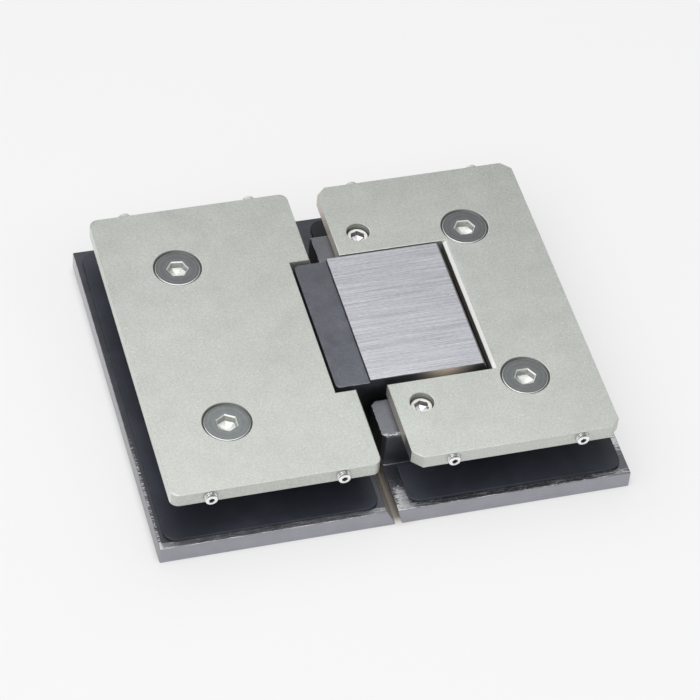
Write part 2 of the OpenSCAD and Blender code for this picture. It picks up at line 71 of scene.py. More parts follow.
# Depth of a thread's groove as a share of its pitch, and of a socket's cone as one of its half width.
THREAD_DEPTH = 0.6
CONE_DEPTH = 0.35
Colour = tuple[float, float, float]
Point = tuple[float, float, float]
SLOT_OF_NODE = {row["node"]: row["material_slot"] for row in frame["record"]["subparts"]}
BODY_OF_NODE = {
    node: body for body, nodes in frame["record"]["behaviour"]["bodies"].items() for node in nodes
}


class Leaf(Enum):
    """The two halves of the hinge, by the name of the body that carries them."""

    FIXED = "fixed_leaf"
    DOOR = "door_leaf"

    @property
    def prefix(self) -> str:
        """First word of the names of this leaf's pieces."""
        return self.value.split("_")[0]


class Side(Enum):
    """Where a paired piece lies along the pivot pin."""

    NEAR = -1
    FAR = 1

    @property
    def word(self) -> str:
        """Word for this side in the names of pieces."""
        return self.name.lower()


class Axis(Enum):
    """Direction that a turned piece's own axis points in: its head's side."""

    UP = (0.0, 0.0, 1.0)
    NEAR = (0.0, -1.0, 0.0)
    FAR = (0.0, 1.0, 0.0)
    RIGHT = (1.0, 0.0, 0.0)

    def turn(self) -> np.ndarray:
        """Rotation, as rows of a 3 by 3 array, that takes the Z axis to this direction."""
        return np.array(Vector((0.0, 0.0, 1.0)).rotation_difference(Vector(self.value)).to_matrix())


def grey(level: float, tint: Colour = (1.0, 1.0, 1.0)) -> Colour:
    """A near-neutral linear colour: one level times a tint."""
    return (level * tint[0], level * tint[1], level * tint[2])


def span(node: str) -> tuple[np.ndarray, np.ndarray]:
    """Lowest and highest corner of a node at rest, in millimetres."""
    low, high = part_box(node)
    return np.array(low) / MM, np.array(high) / MM


def middle(node: str) -> np.ndarray:
    """Middle of a node's box at rest, in millimetres."""
    low, high = span(node)
    return (low + high) / 2


class Signal:
    """One output socket of a node tree. Arithmetic on it adds Math nodes to the tree."""

    def __init__(self, tree: bpy.types.NodeTree, socket: bpy.types.NodeSocket) -> None:
        """Keep the tree and the socket."""
        self.tree = tree
        self.socket = socket

    def math(self, operation: str, *more: "Signal | float") -> "Signal":
        """Add one Math node whose first input is this signal.

        Args:
            operation: The node's operation.
            more: Its other inputs in order.

        Returns:
            The node's result.
        """
        node = self.tree.nodes.new("ShaderNodeMath")
        node.operation = operation
        for plug, operand in zip(node.inputs, (self, *more)):
            feed(self.tree, plug, operand)
        return Signal(self.tree, node.outputs[0])

    def __add__(self, other: "Signal | float") -> "Signal":
        """Sum."""
        return self.math("ADD", other)

    def __radd__(self, other: float) -> "Signal":
        """Sum with a number on the left."""
        return self.math("ADD", other)

    def __sub__(self, other: "Signal | float") -> "Signal":
        """Difference."""
        return self.math("SUBTRACT", other)

    def __rsub__(self, other: float) -> "Signal":
        """Difference from a number."""
        return self.math("MULTIPLY_ADD", -1.0, other)

    def __mul__(self, other: "Signal | float") -> "Signal":
        """Product."""
        return self.math("MULTIPLY", other)

    def __rmul__(self, other: float) -> "Signal":
        """Product with a number on the left."""
        return self.math("MULTIPLY", other)

    def __truediv__(self, other: "Signal | float") -> "Signal":
        """Quotient."""
        return self.math("DIVIDE", other)

    def __pow__(self, other: "Signal | float") -> "Signal":
        """Power."""
        return self.math("POWER", other)

    def above(self, edge: float, softness: float) -> "Signal":
        """Mask that rises from 0 to 1 across an edge.

        Args:
            edge: Value at which the mask is one half.
            softness: Full width of the rise.

        Returns:
            The mask, between 0 and 1.
        """
        node = self.tree.nodes.new("ShaderNodeMapRange")
        node.interpolation_type = "SMOOTHSTEP"
        ends = {"From Min": edge - softness / 2, "From Max": edge + softness / 2}
        for name, value in {"Value": self, **ends}.items():
            feed(self.tree, node.inputs[name], value)
        return Signal(self.tree, node.outputs["Result"])

    def below(self, edge: float, softness: float) -> "Signal":
        """Mask that falls from 1 to 0 across an edge, the opposite of above."""
        return 1.0 - self.above(edge, softness)

    def near(self, value: float, reach: float) -> "Signal":
        """Mask that is 1 at a value and falls to 0 at a distance of reach on both sides."""
        return (self - value).math("ABSOLUTE").below(reach / 2, reach)


def feed(tree: bpy.types.NodeTree, plug: bpy.types.NodeSocket, value: object) -> None:
    """Link a signal to an input socket, or set the socket to a plain value."""
    if isinstance(value, Signal):
        tree.links.new(value.socket, plug)
    elif plug.type == "RGBA":
        plug.default_value = (*value, 1.0)
    else:
        plug.default_value = value


@dataclass(frozen=True)
class Pattern:
    """Cloudy pattern: the width of its features in millimetres, and its finer layers.

    The width is one number or one for each axis. Detail is the number of finer layers, roughness
    their strength, and seed a shift that gives another part of the pattern.
    """

    size: Point | float
    detail: float = 2.0
    roughness: float = 0.5
    seed: float = 0.0


class Recipe:
    """Node tree of one material, built round its Principled shader."""

    def __init__(self, name: str) -> None:
        """Make an empty material of that name."""
        self.material = bpy.data.materials.new(name)
        self.material.use_nodes = True
        self.tree = self.material.node_tree
        self.shader = next(n for n in self.tree.nodes if n.type == "BSDF_PRINCIPLED")

    def node(
        self,
        kind: str,
        settings: dict[str, object] | None = None,
        inputs: dict[str | int, object] | None = None,
        output: str | int = 0,
    ) -> Signal:
        """Add any node.

        Args:
            kind: The node's type.
            settings: Properties that are set first.
            inputs: Values or signals of its sockets, by name or number.
            output: Name or number of the output that is wanted.

        Returns:
            That output.
        """
        node = self.tree.nodes.new(kind)
        for key, value in (settings or {}).items():
            setattr(node, key, value)
        for key, value in (inputs or {}).items():
            feed(self.tree, node.inputs[key], value)
        return Signal(self.tree, node.outputs[output])

    def place(self) -> Signal:
        """Object coordinates, in metres in the hinge's frame."""
        return self.node("ShaderNodeTexCoord", output="Object")

    def facing(self) -> list[Signal]:
        """The three parts of the surface's direction in the hinge's frame."""
        normal = self.node("ShaderNodeTexCoord", output="Normal")
        return [self.node("ShaderNodeSeparateXYZ", inputs={0: normal}, output=i) for i in range(3)]

    def coordinate(self, index: int) -> Signal:
        """One object coordinate in millimetres: 0, 1 or 2 for X, Y or Z."""
        return self.node("ShaderNodeSeparateXYZ", inputs={0: self.place()}, output=index) / MM

    def attribute(self, name: str) -> Signal:
        """Number that a piece's mesh carries under that name."""
        return self.node("ShaderNodeAttribute", {"attribute_name": name}, output="Fac")

    def noise(self, pattern: Pattern) -> Signal:
        """Value of a cloudy pattern, between 0 and 1."""
        size = pattern.size
        sizes = (size, size, size) if isinstance(size, float) else size
        scale = tuple(1.0 / (s * MM) for s in sizes)
        shift = (pattern.seed, pattern.seed, pattern.seed)
        where = self.node(
            "ShaderNodeMapping", inputs={"Vector": self.place(), "Scale": scale, "Location": shift}
        )
        layers = {"Detail": pattern.detail, "Roughness": pattern.roughness}
        return self.node("ShaderNodeTexNoise", inputs={"Vector": where, "Scale": 1.0, **layers})

    def turning_marks(self, pitch: float) -> Signal:
        """Cloudy rings round a turned piece's axis, of that width, between 0 and 1."""
        radius = self.attribute("radius") / pitch
        height = self.attribute("height") / pitch
        profile = self.node("ShaderNodeCombineXYZ", inputs={0: radius, 1: height})
        return self.node("ShaderNodeTexNoise", inputs={"Vector": profile, "Scale": 1.0, "Detail": 2.0})

    def mix(self, factor: Signal | float, low: object, high: object) -> Signal:
        """Colour between two colours."""
        return self.node("ShaderNodeMix", {"data_type": "RGBA"}, {0: factor, 6: low, 7: high}, output=2)

    def shade(self, colour: Signal | Colour, factor: Signal) -> Signal:
        """Colour times a number."""
        return self.node("ShaderNodeVectorMath", {"operation": "SCALE"}, {0: colour, "Scale": factor})

    def bump(self, height: Signal, depth: float) -> None:
        """Let a pattern between 0 and 1 dent the surface by up to a depth in millimetres."""
        inputs = {"Strength": 1.0, "Distance": depth * MM, "Height": height}
        self.set("Normal", self.node("ShaderNodeBump", inputs=inputs))

    def set(self, name: str, value: object) -> None:
        """Give one socket of the shader a value or a signal."""
        feed(self.tree, self.shader.inputs[name], value)


@dataclass(frozen=True)
class SatinNickel:
    """Pale grey-green satin of the clamp plates: fine mottling, painted highlights on cut faces and
    painted shade in recesses.

    Painted light: the fixed plate's left wall is a little lighter, rounded edges are lighter, and the
    tone falls towards the far side.
    The door plate's left wall carries a tan painted reflection, lighter towards its far end, with
    painted shade at its near end.
    """

    colour: Colour = (0.575, 0.598, 0.56)
    # Near-white matt colour of faces with a positive cut: a painted highlight.
    bare: Colour = (0.98, 0.98, 0.97)
    # Tan painted reflection on the door plate's left wall.
    warm: Colour = (0.62, 0.57, 0.51)
    shaded: Colour = (0.15, 0.165, 0.175)
    metal: float = 0.6
    roughness: float = 0.46
    mottle: Pattern = Pattern(0.42, 3.0, 0.65)
    cloud: Pattern = Pattern(6.0, 3.0, 0.55, seed=3.0)
    drift: Pattern = Pattern(26.0, 1.0, 0.5, seed=11.0)
    speck: Pattern = Pattern(0.55, 2.0, 0.6, seed=7.0)
    relief: float = 0.012
    # The fixed plate's left wall, left of this, gets painted light.
    fixed_wall_x: float = -45.0
    door_wall_x: float = 3.2
    shaded_y: float = -34.8
    # Painted light: the tone falls towards the far side, twice as fast on the door plate.
    fall_per_mm: float = 0.001

    def material(self, name: str) -> bpy.types.Material:
        """Build the material under a name."""
        recipe = Recipe(name)
        cut = recipe.attribute("cut")
        # A positive cut paints a highlight; a negative cut paints shade in a recess.
        bare = cut.math("MAXIMUM", 0.0)
        dark = cut.math("MINIMUM", 0.0)
        across, along, up = recipe.facing()
        x, y = (recipe.coordinate(i) for i in range(2))
        edge = up.near(EDGE_TILT, EDGE_REACH)
        mottle = recipe.noise(self.mottle)
        cloud = recipe.noise(self.cloud)
        drift = recipe.noise(self.drift)
        speck = recipe.noise(self.speck).above(0.69, 0.07)
        left_wall = across.below(-0.9, 0.15)
        # Painted highlight on rounded edges, painted light on the fixed plate's left wall, and painted
        # light falling towards the far side.
        tone = 0.53 + 0.7 * mottle + 0.2 * cloud + 0.12 * drift + 0.2 * speck + 0.3 * edge
        tone = tone + 0.3 * left_wall * x.below(self.fixed_wall_x, 2.0)
        tone = tone - self.fall_per_mm * y * (1.0 + x.above(0.0, 4.0))
        # Door plate's left wall: tan painted reflection, lighter towards the far end, painted light,
        # with painted shade at the near end.
        warm = recipe.shade(self.warm, 0.85 + 0.35 * y.above(10.0, 40.0))
        warm = recipe.mix(y.below(self.shaded_y, 2.5), warm, self.shaded)
        plain = recipe.mix(left_wall * x.near(self.door_wall_x, 2.0), self.colour, warm)
        # Cut faces: near-white painted highlight, darker where they face the near side, painted shade.
        painted_cut_highlight = recipe.shade(self.bare, 0.3 + 0.7 * along.above(-0.35, 0.5))
        recipe.set("Metallic", self.metal * (1.0 - bare))
        recipe.set("Base Color", recipe.mix(bare, recipe.shade(plain, tone * (1.0 + dark)), painted_cut_highlight))
        recipe.set("Roughness", self.roughness + 0.2 * (mottle - 0.5) + 0.1 * (cloud - 0.5))
        recipe.bump(mottle, self.relief)
        return recipe.material


@dataclass(frozen=True)
class GraphitePlate:
    """Dark plating of the outer plates: satin sides, scratched rims, a paler left end, and worn edges
    with painted glints.

    The sloping ends towards the gap between the plates carry a tan painted reflection, lighter towards
    the near end. The door plate's rim has bright streaks in two places: a painted reflection at its near
    left corner, and a patch behind its near right one. The lugs' walls carry painted shade.
    """

    side: Colour = (0.365, 0.365, 0.405)
    pale: Colour = (0.395, 0.395, 0.41)
    rim: Colour = (0.115, 0.12, 0.137)
    near_rim: Colour = (0.2, 0.2, 0.215)
    lug: Colour = (0.225, 0.232, 0.255)
    # Tan painted reflection on the sloping ends.
    slope: Colour = (0.42, 0.375, 0.31)
    # Pale colour of scratches, of the painted reflection and of edge glints.
    scuffed: Colour = (0.82, 0.82, 0.85)
    roughness: float = 0.4
    cloud: Pattern = Pattern(5.0, 3.0, 0.6)
    streak: Pattern = Pattern((6.0, 6.0, 0.18), 2.0, 0.5, seed=5.0)
    fine: Pattern = Pattern((2.6, 0.16, 2.6), 4.0, 0.7, seed=9.0)
    nick: Pattern = Pattern(0.45, 3.0, 0.7, seed=12.0)
    rubbed: Pattern = Pattern(2.4, 3.0, 0.6, seed=21.0)
    glint: Pattern = Pattern(0.55, 2.0, 0.7, seed=23.0)
    relief: float = 0.008
    left_end_x: float = -45.0
    near_rim_y: float = -43.3
    left_rim_x: float = -52.0
    right_rim_x: float = 50.4
    # Painted reflection of bright surroundings at the door plate's near left corner.
    worn_corner_x: float = 1.6
    worn_corner_y: float = -38.0
    # Bright streaked patch on the door plate's right rim.
    worn_right_y: float = -34.0
    most_wear: float = 0.42
    lug_z: float = 6.0
    lug_edge_y: float = -31.4

    def material(self, name: str) -> bpy.types.Material:
        """Build the material under a name."""
        recipe = Recipe(name)
        across, along, up = recipe.facing()
        x, y, z = (recipe.coordinate(i) for i in range(3))
        cloud = recipe.noise(self.cloud)
        streak = recipe.noise(self.streak)
        fine = recipe.noise(self.fine)
        nick = recipe.noise(self.nick)
        top = up.above(0.85, 0.2)
        left_end = across.below(-0.8, 0.2) * x.below(self.left_end_x, 1.0)
        slope = across.above(0.8, 0.2) * up.above(0.3, 0.2)
        near_rim = y.below(self.near_rim_y, 0.3)
        left_rim = x.below(self.left_rim_x, 0.4) * y.below(-14.0, 16.0)
        right_rim = x.above(self.right_rim_x, 0.8)
        lug = z.above(self.lug_z, 2.0)
        # Bright streaks: a painted reflection at the near left corner, and a patch on the right rim.
        left_reflection = y.below(self.worn_corner_y, 8.0) * x.near(self.worn_corner_x, 3.4)
        streaked_patches = left_reflection.math("MAXIMUM", right_rim * y.near(self.worn_right_y, 8.0))
        # Pale scratches where the rims are worn, plus the painted reflection patch.
        wear_and_reflection = 0.1 + 0.18 * near_rim + 0.2 * left_rim + 0.36 * streaked_patches
        wear_and_reflection = wear_and_reflection.math("MINIMUM", self.most_wear)
        scuffs_and_reflection = (fine + wear_and_reflection + 0.35 * (nick - 0.5)).above(0.84, 0.07)
        rubbed = recipe.noise(self.rubbed).above(0.53, 0.2)
        glint = recipe.noise(self.glint).above(0.52, 0.1)
        lug_end = lug * along.above(0.6, 0.1)
        # Rounded edges lighter in broken patches: partly worn plating, partly painted glints on the
        # lugs.
        wear_and_edge_glint = up.near(EDGE_TILT, EDGE_REACH) * (rubbed + lug * (glint - rubbed)) * (1.0 - lug_end)
        # Chipped plating and painted glints along the near lug's top edge.
        chips_and_glints = top * lug * y.near(self.lug_edge_y, 0.9) * glint
        wear_and_edge_glint = wear_and_edge_glint.math("MAXIMUM", chips_and_glints)
        # The lugs' walls are darker: painted shade.
        side = recipe.shade(self.side, (0.72 + 0.3 * streak + 0.3 * cloud) * (1.0 - 0.45 * lug))
        base = recipe.mix(left_end, side, recipe.shade(self.pale, 1.05 + y / 150.0))
        # Sloping ends: tan painted reflection, lighter towards the near end, and less metallic.
        bare = recipe.shade(self.slope, 0.6 + 0.4 * cloud + 0.5 * y.below(-34.0, 20.0))
        base = recipe.mix(slope, base, bare)
        near_rim = near_rim.math("MAXIMUM", right_rim * y.below(-37.0, 3.0))
        lighter = recipe.shade(self.near_rim, 1.0 + 0.9 * x.below(-4.0, 8.0))
        plain = recipe.mix(near_rim, self.rim, lighter)
        plain = recipe.mix(lug, plain, self.lug)
        rim = recipe.mix(scuffs_and_reflection, recipe.shade(plain, 0.45 + 0.4 * cloud + 0.7 * fine), self.scuffed)
        base = recipe.mix(top, base, rim)
        # Edge patches take the pale colour; on the lugs they also lose their metal, to read as painted
        # glints.
        base = recipe.mix(0.75 * wear_and_edge_glint * (1.0 - slope), base, self.scuffed)
        recipe.set("Metallic", 1.0 - 0.6 * left_end - 0.8 * slope - 0.8 * wear_and_edge_glint * lug)
        recipe.set("Base Color", base)
        recipe.set("Roughness", self.roughness + 0.14 * (cloud - 0.5) + 0.08 * (streak - 0.5))
        recipe.bump(streak + top * (fine - streak), self.relief)
        return recipe.material


@dataclass(frozen=True)
class BrushedBlock:
    """Dark plating of the pivot block, with a raised face that is brushed across the pin.

    A faint round mark, given by its middle and radius, lies on the tail. The near wall carries a tan
    painted reflection round one place, and the right end is darker, painted shade. Rounded upper edges
    are lighter in patches, partly worn plating and partly painted glints.
    """

    colour: Colour = (0.168, 0.176, 0.2)
    brushed: Colour = (0.625, 0.63, 0.672)
    # Painted shade: the right end, in the gap by the notch wall, is darker and barely metallic.
    end: Colour = (0.17, 0.145, 0.13)
    # Tan painted reflection on the near wall.
    warm: Colour = (0.86, 0.74, 0.64)
    # Light colour of worn edges and painted glints.
    edge: Colour = (0.62, 0.6, 0.6)
    face_z: float = 17.9
    tail_z: float = 17.0
    # Place of the painted reflection on the near wall.
    warm_x: float = 17.0
    warm_z: float = 9.0
    mark: tuple[float, float, float] = (-3.95, -15.5, 2.7)
    roughness: float = 0.42
    hair: Pattern = Pattern((1.0, 0.12, 1.0), 1.0, 0.5)
    line: Pattern = Pattern((13.0, 0.14, 13.0), 1.0, 0.5, seed=15.0)
    band: Pattern = Pattern((40.0, 1.4, 40.0), 2.0, 0.5, seed=4.0)
    grain: Pattern = Pattern(0.35, 3.0, 0.6, seed=8.0)
    cloud: Pattern = Pattern(4.0, 3.0, 0.55, seed=2.0)
    rubbed: Pattern = Pattern(1.8, 3.0, 0.6, seed=21.0)
    relief: float = 0.008

    def material(self, name: str) -> bpy.types.Material:
        """Build the material under a name."""
        recipe = Recipe(name)
        x, y, z = (recipe.coordinate(i) for i in range(3))
        across, along, up = recipe.facing()
        face = z.above(self.face_z, 0.2) * up.above(0.8, 0.2)
        # Painted shade on the right end and a painted reflection on the near wall.
        end = across.above(0.6, 0.3)
        near_wall_reflection = along.below(-0.8, 0.3) * z.above(self.warm_z, 4.0) * x.near(self.warm_x, 9.0)
        rubbed = recipe.noise(self.rubbed).above(0.5, 0.25)
        # Lighter broken upper edges: partly worn plating, partly painted glints.
        wear_and_edge_glint = up.near(EDGE_TILT, EDGE_REACH) * rubbed * z.above(15.0, 2.0)
        hair = recipe.noise(self.hair)
        line = recipe.noise(self.line)
        band = recipe.noise(self.band)
        grain = recipe.noise(self.grain)
        cloud = recipe.noise(self.cloud)
        mark_x, mark_y, mark_r = self.mark
        from_mark = ((x - mark_x) ** 2.0 + (y - mark_y) ** 2.0).math("SQRT")
        ring = from_mark.near(mark_r, 0.22) * z.above(self.tail_z, 0.2)
        brushed = recipe.shade(self.brushed, 0.02 + 0.7 * hair + 0.95 * line + 0.35 * band)
        plain = recipe.shade(self.colour, 0.4 + 0.6 * grain + 0.6 * cloud + 0.12 * ring)
        plain = recipe.mix(end, plain, self.end)
        plain = recipe.mix(near_wall_reflection, plain, self.warm)
        plain = recipe.mix(0.6 * wear_and_edge_glint * (1.0 - end), plain, self.edge)
        recipe.set("Metallic", 1.0 - 0.8 * end - 0.6 * near_wall_reflection)
        recipe.set("Base Color", recipe.mix(face, plain, brushed))
        recipe.set("Roughness", self.roughness + 0.12 * (grain - 0.5) + 0.1 * face * (hair - 0.5))
        recipe.bump(grain + face * (0.5 * (hair + line) - grain), self.relief)
        return recipe.material


@dataclass(frozen=True)
class TurnedSteel:
    """Steel of turned pieces: rings round the axis, a painted socket colour, and pale matt tips at the
    far edges, painted light.

    A cut number up to 1 leads from the plain surface to the socket's colour, a painted reflection where
    it is bright and painted shade where it is dark.
    Up to 2 it leads to a near-white matt colour, a painted highlight. One below 0 darkens the surface,
    as do thread grooves: painted shade.
    """

    colour: Colour = (0.215, 0.232, 0.236)
    # Socket colour: bright here, a painted reflection; bright steel's is dark, a painted shade.
    socket: Colour = (0.9, 0.91, 0.87)
    # Near-white matt colour for cuts above 1: a painted highlight.
    bare: Colour = (0.98, 0.96, 0.9)
    # Pale matt colour of the far cover screws' tips: painted light.
    dull: Colour = (0.72, 0.74, 0.7)
    roughness: float = 0.36
    marks: float = 0.24
    cloud: Pattern = Pattern(1.6, 3.0, 0.6)
    relief: float = 0.004
    far_edge: float = 41.0

    def material(self, name: str) -> bpy.types.Material:
        """Build the material under a name."""
        recipe = Recipe(name)
        rings = recipe.turning_marks(self.marks)
        cut = recipe.attribute("cut")
        cloud = recipe.noise(self.cloud)
        # Painted light: the far tips are pale and nearly without metal.
        dull = recipe.coordinate(1).above(self.far_edge, 0.4)
        # Painted shade: negative cuts and thread grooves are darker.
        painted_shading = (1.0 + cut.math("MINIMUM", 0.0)) * (1.0 - 0.75 * recipe.attribute("groove"))
        body = recipe.shade(self.colour, (0.55 + 0.8 * rings + 0.3 * cloud) * painted_shading)
        # Positive cuts lead to the socket's painted colour, cuts above 1 to the near-white painted
        # highlight.
        body = recipe.mix(cut, body, recipe.shade(self.socket, 0.8 + 0.3 * cloud))
        body = recipe.mix(cut - 1.0, body, self.bare)
        recipe.set("Metallic", (1.0 - 0.5 * cut) * (1.0 - 0.95 * dull))
        recipe.set("Base Color", recipe.mix(dull, body, recipe.shade(self.dull, 0.8 + 0.4 * cloud)))
        recipe.set("Roughness", self.roughness + 0.15 * (rings - 0.5) - 0.08 * cut)
        recipe.bump(rings, self.relief)
        return recipe.material


@dataclass(frozen=True)
class PlainMetal:
    """Metal of the pieces inside: fine grain and soft clouds in one tone."""

    colour: Colour = (0.4, 0.4, 0.41)
    roughness: float = 0.32
    grain: Pattern = Pattern(0.3, 3.0, 0.6)
    cloud: Pattern = Pattern(3.0, 2.0, 0.5, seed=3.0)
    relief: float = 0.004

    def material(self, name: str) -> bpy.types.Material:
        """Build the material under a name."""
        recipe = Recipe(name)
        grain = recipe.noise(self.grain)
        cloud = recipe.noise(self.cloud)
        recipe.set("Metallic", 1.0)
        recipe.set("Base Color", recipe.shade(self.colour, 0.82 + 0.2 * grain + 0.16 * cloud))
        recipe.set("Roughness", self.roughness + 0.14 * (grain - 0.5))
        recipe.bump(grain, self.relief)
        return recipe.material


@dataclass(frozen=True)
class SheetRubber:
    """Matt black rubber of the gaskets, with a faint blue bloom and one patch of painted shade."""

    colour: Colour = (0.025, 0.0295, 0.042)
    bloom: Colour = (0.042, 0.049, 0.066)
    roughness: float = 0.55
    grain: Pattern = Pattern(0.25, 2.0, 0.6, seed=6.0)
    cloud: Pattern = Pattern(12.0, 4.0, 0.6)
    relief: float = 0.01
    # Middle of the patch of painted shade behind the far lug.
    clean_x: float = 6.0
    clean_y: float = 24.0

    def material(self, name: str) -> bpy.types.Material:
        """Build the material under a name."""
        recipe = Recipe(name)
        cloud = recipe.noise(self.cloud)
        grain = recipe.noise(self.grain)
        x, y = (recipe.coordinate(i) for i in range(2))
        # Painted shade: the gasket is darker on one patch.
        painted_shading = y.above(self.clean_y, 6.0) * x.near(self.clean_x, 16.0)
        bloomed = recipe.mix(cloud.above(0.55, 0.4), self.colour, self.bloom)
        recipe.set("Base Color", recipe.shade(bloomed, 1.0 - 0.7 * painted_shading))
        recipe.set("Roughness", self.roughness + 0.15 * (grain - 0.5))
        recipe.bump(grain, self.relief)
        return recipe.material


@dataclass(frozen=True)
class MouldedNylon:
    """Off-white nylon of the sleeves and washers."""

    colour: Colour = (0.62, 0.6, 0.53)
    roughness: float = 0.45
    cloud: Pattern = Pattern(3.0, 2.0, 0.5)
    relief: float = 0.01

    def material(self, name: str) -> bpy.types.Material:
        """Build the material under a name."""
        recipe = Recipe(name)
        cloud = recipe.noise(self.cloud)
        recipe.set("Base Color", recipe.shade(self.colour, 0.9 + 0.2 * cloud))
        recipe.set("Roughness", self.roughness + 0.1 * (cloud - 0.5))
        recipe.bump(cloud, self.relief)
        return recipe.material


@dataclass
class Finishes:
    """One material for each slot of the record, made once and shared."""

    by_slot: dict[str, bpy.types.Material] = field(default_factory=dict)

    def __post_init__(self) -> None:
        """Build every material."""
        kinds = {
            "satin_nickel": SatinNickel(),
            "graphite_plate": GraphitePlate(),
            "brushed_graphite": BrushedBlock(),
            "screw_steel": TurnedSteel(),
            # Bright steel's socket colour is dark: painted shade in its sockets.
            "bright_steel": TurnedSteel(colour=grey(0.88), socket=grey(0.12), roughness=0.24, marks=0.3),
            "gasket_rubber": SheetRubber(),
            "nylon": MouldedNylon(),
            "brass": PlainMetal(colour=(0.56, 0.38, 0.14), roughness=0.3),
            "spring_steel": PlainMetal(),
        }
        for name, kind in kinds.items():
            self.by_slot[name] = kind.material(name)

    def of(self, node: str) -> bpy.types.Material:
        """Material of the slot that the record gives a node."""
        return self.by_slot[SLOT_OF_NODE[node]]


class Shell:
    """Closed surface put together from rings of points, bands between rings, and flat faces.

    Every face carries a number named cut, which is 0 where its finish is plain. It is above 0
    where the finish paints a highlight or a socket's colour, and below 0 where it paints shade.
    """

    def __init__(self) -> None:
        """Start with no points."""
        self.blocks: list[np.ndarray] = []
        self.count = 0
        self.faces: list[np.ndarray] = []
        self.cuts: list[np.ndarray] = []

    def ring(self, points: np.ndarray) -> np.ndarray:
        """Add points, in millimetres, and return their numbers."""
        self.blocks.append(points)
        self.count += len(points)
        return np.arange(self.count - len(points), self.count)

    def add(self, faces: np.ndarray, cut: float) -> None:
        """Add faces, one row of point numbers each."""
        self.faces.append(faces)
        self.cuts.append(np.full(len(faces), cut))

    def band(
        self, low: np.ndarray, high: np.ndarray, cut: float = 0.0, open_at: list[int] | None = None,
    ) -> None:
        """Join two rings of equal length with four-sided faces.

        Args:
            low: Point numbers of one ring.
            high: Point numbers of the other.
            cut: The faces' cut number.
            open_at: Numbers of the faces that are left out.
        """
        quads = np.stack([low, np.roll(low, -1), np.roll(high, -1), high], axis=-1)
        self.add(np.delete(quads, open_at or [], axis=0), cut)

    def face(self, rings: list[np.ndarray], cut: float = 0.0) -> None:
        """Fill the flat region between an outer ring and the rings of its holes with triangles.

        The points are laid out along the two axes on which they spread most. A triangle belongs
        to the region where a line from its middle along the first axis crosses the rings an odd
        number of times.

        Args:
            rings: Point numbers of the outer ring and of each hole.
            cut: The faces' cut number.
        """
        numbers = np.concatenate(rings)
        points = np.concatenate(self.blocks)[numbers]
        flat = points[:, np.sort(np.argsort(np.ptp(points, axis=0))[-2:])]
        first = np.cumsum([0] + [len(ring) for ring in rings])
        around = [np.arange(a, b) for a, b in zip(first, first[1:])]
        edges = np.concatenate([np.stack([run, np.roll(run, -1)], axis=-1) for run in around])
        _, _, triangles, origins, _, _ = delaunay_2d_cdt(flat.tolist(), edges.tolist(), [], 0, 1e-9)
        triangles = np.array([ids[0] for ids in origins])[np.array(triangles)]
        centre = flat[triangles].mean(axis=1)
        start, end = flat[edges[:, 0]], flat[edges[:, 1]]
        spans = (start[:, 1] > centre[:, 1:]) != (end[:, 1] > centre[:, 1:])
        rise = np.where(end[:, 1] == start[:, 1], 1.0, end[:, 1] - start[:, 1])
        crossing = start[:, 0] + (centre[:, 1:] - start[:, 1]) * (end[:, 0] - start[:, 0]) / rise
        inside = (spans & (crossing > centre[:, :1])).sum(axis=1) % 2 == 1
        self.add(numbers[triangles[inside]], cut)

    def mesh(self, name: str, numbers: dict[str, np.ndarray] | None = None) -> bpy.types.Mesh:
        """Make the mesh, with its faces pointing outwards.

        Args:
            name: The mesh's name.
            numbers: Named values for each point.

        Returns:
            The mesh, in metres, smooth apart from its sharp edges.
        """
        data = bpy.data.meshes.new(name)
        faces = [row for block in self.faces for row in block.tolist()]
        data.from_pydata(np.concatenate(self.blocks) * MM, [], faces)
        data.attributes.new("cut", "FLOAT", "FACE").data.foreach_set("value", np.concatenate(self.cuts))
        for key, values in (numbers or {}).items():
            data.attributes.new(key, "FLOAT", "POINT").data.foreach_set("value", values)
        mesh = bmesh.new()
        mesh.from_mesh(data)
        bmesh.ops.remove_doubles(mesh, verts=mesh.verts, dist=MERGE_M)
        bmesh.ops.recalc_face_normals(mesh, faces=mesh.faces)
        mesh.to_mesh(data)
        mesh.free()
        data.shade_smooth()
        data.set_sharp_from_angle(angle=math.radians(SHARP_ANGLE))
        return data


def add_piece(node: str, data: bpy.types.Mesh, finishes: Finishes) -> bpy.types.Object:
    """Put a mesh in the scene as the piece that stands for a node and rides on its body.

    Args:
        node: The node that it replaces.
        data: Its mesh, in metres in the hinge's frame.
        finishes: The materials.

    Returns:
        The piece.
    """
    data.materials.append(finishes.of(node))
    piece = bpy.data.objects.new(data.name, data)
    bpy.context.scene.collection.objects.link(piece)
    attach(piece, BODY_OF_NODE[node])
    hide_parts(node)
    LOG.info("%s: %d faces on %s", piece.name, len(data.polygons), BODY_OF_NODE[node])
    return piece


def flatten_shading(piece: bpy.types.Object) -> None:
    """Let wide faces set the shading of their edges, so that they look flat up to the rounding."""
    weighted = piece.modifiers.new("flat_faces", "WEIGHTED_NORMAL")
    weighted.mode = "FACE_AREA"
    weighted.keep_sharp = True


@dataclass(frozen=True)
class Corner:
    """One corner of an outline, with the radius of its arc, or 0 where it is sharp."""

    x: float
    y: float
    radius: float = 0.0

    def arc(self, before: "Corner", after: "Corner", steps: int = 10) -> np.ndarray:
        """Points of this corner's arc between its neighbours.

        The arc touches both sides: with unit vectors u and v towards the neighbours, its centre
        lies at corner + (u + v) r / sin(angle between them), which is right for square corners.
        """
        corner = np.array([self.x, self.y])
        if self.radius == 0.0:
            return corner[None]
        toward = [np.array([c.x, c.y]) - corner for c in (before, after)]
        u, v = (step / np.linalg.norm(step) for step in toward)
        part = np.linspace(0.0, np.pi / 2, steps)[:, None]
        centre = corner + (u + v) * self.radius
        return centre - self.radius * (v * np.cos(part) + u * np.sin(part))


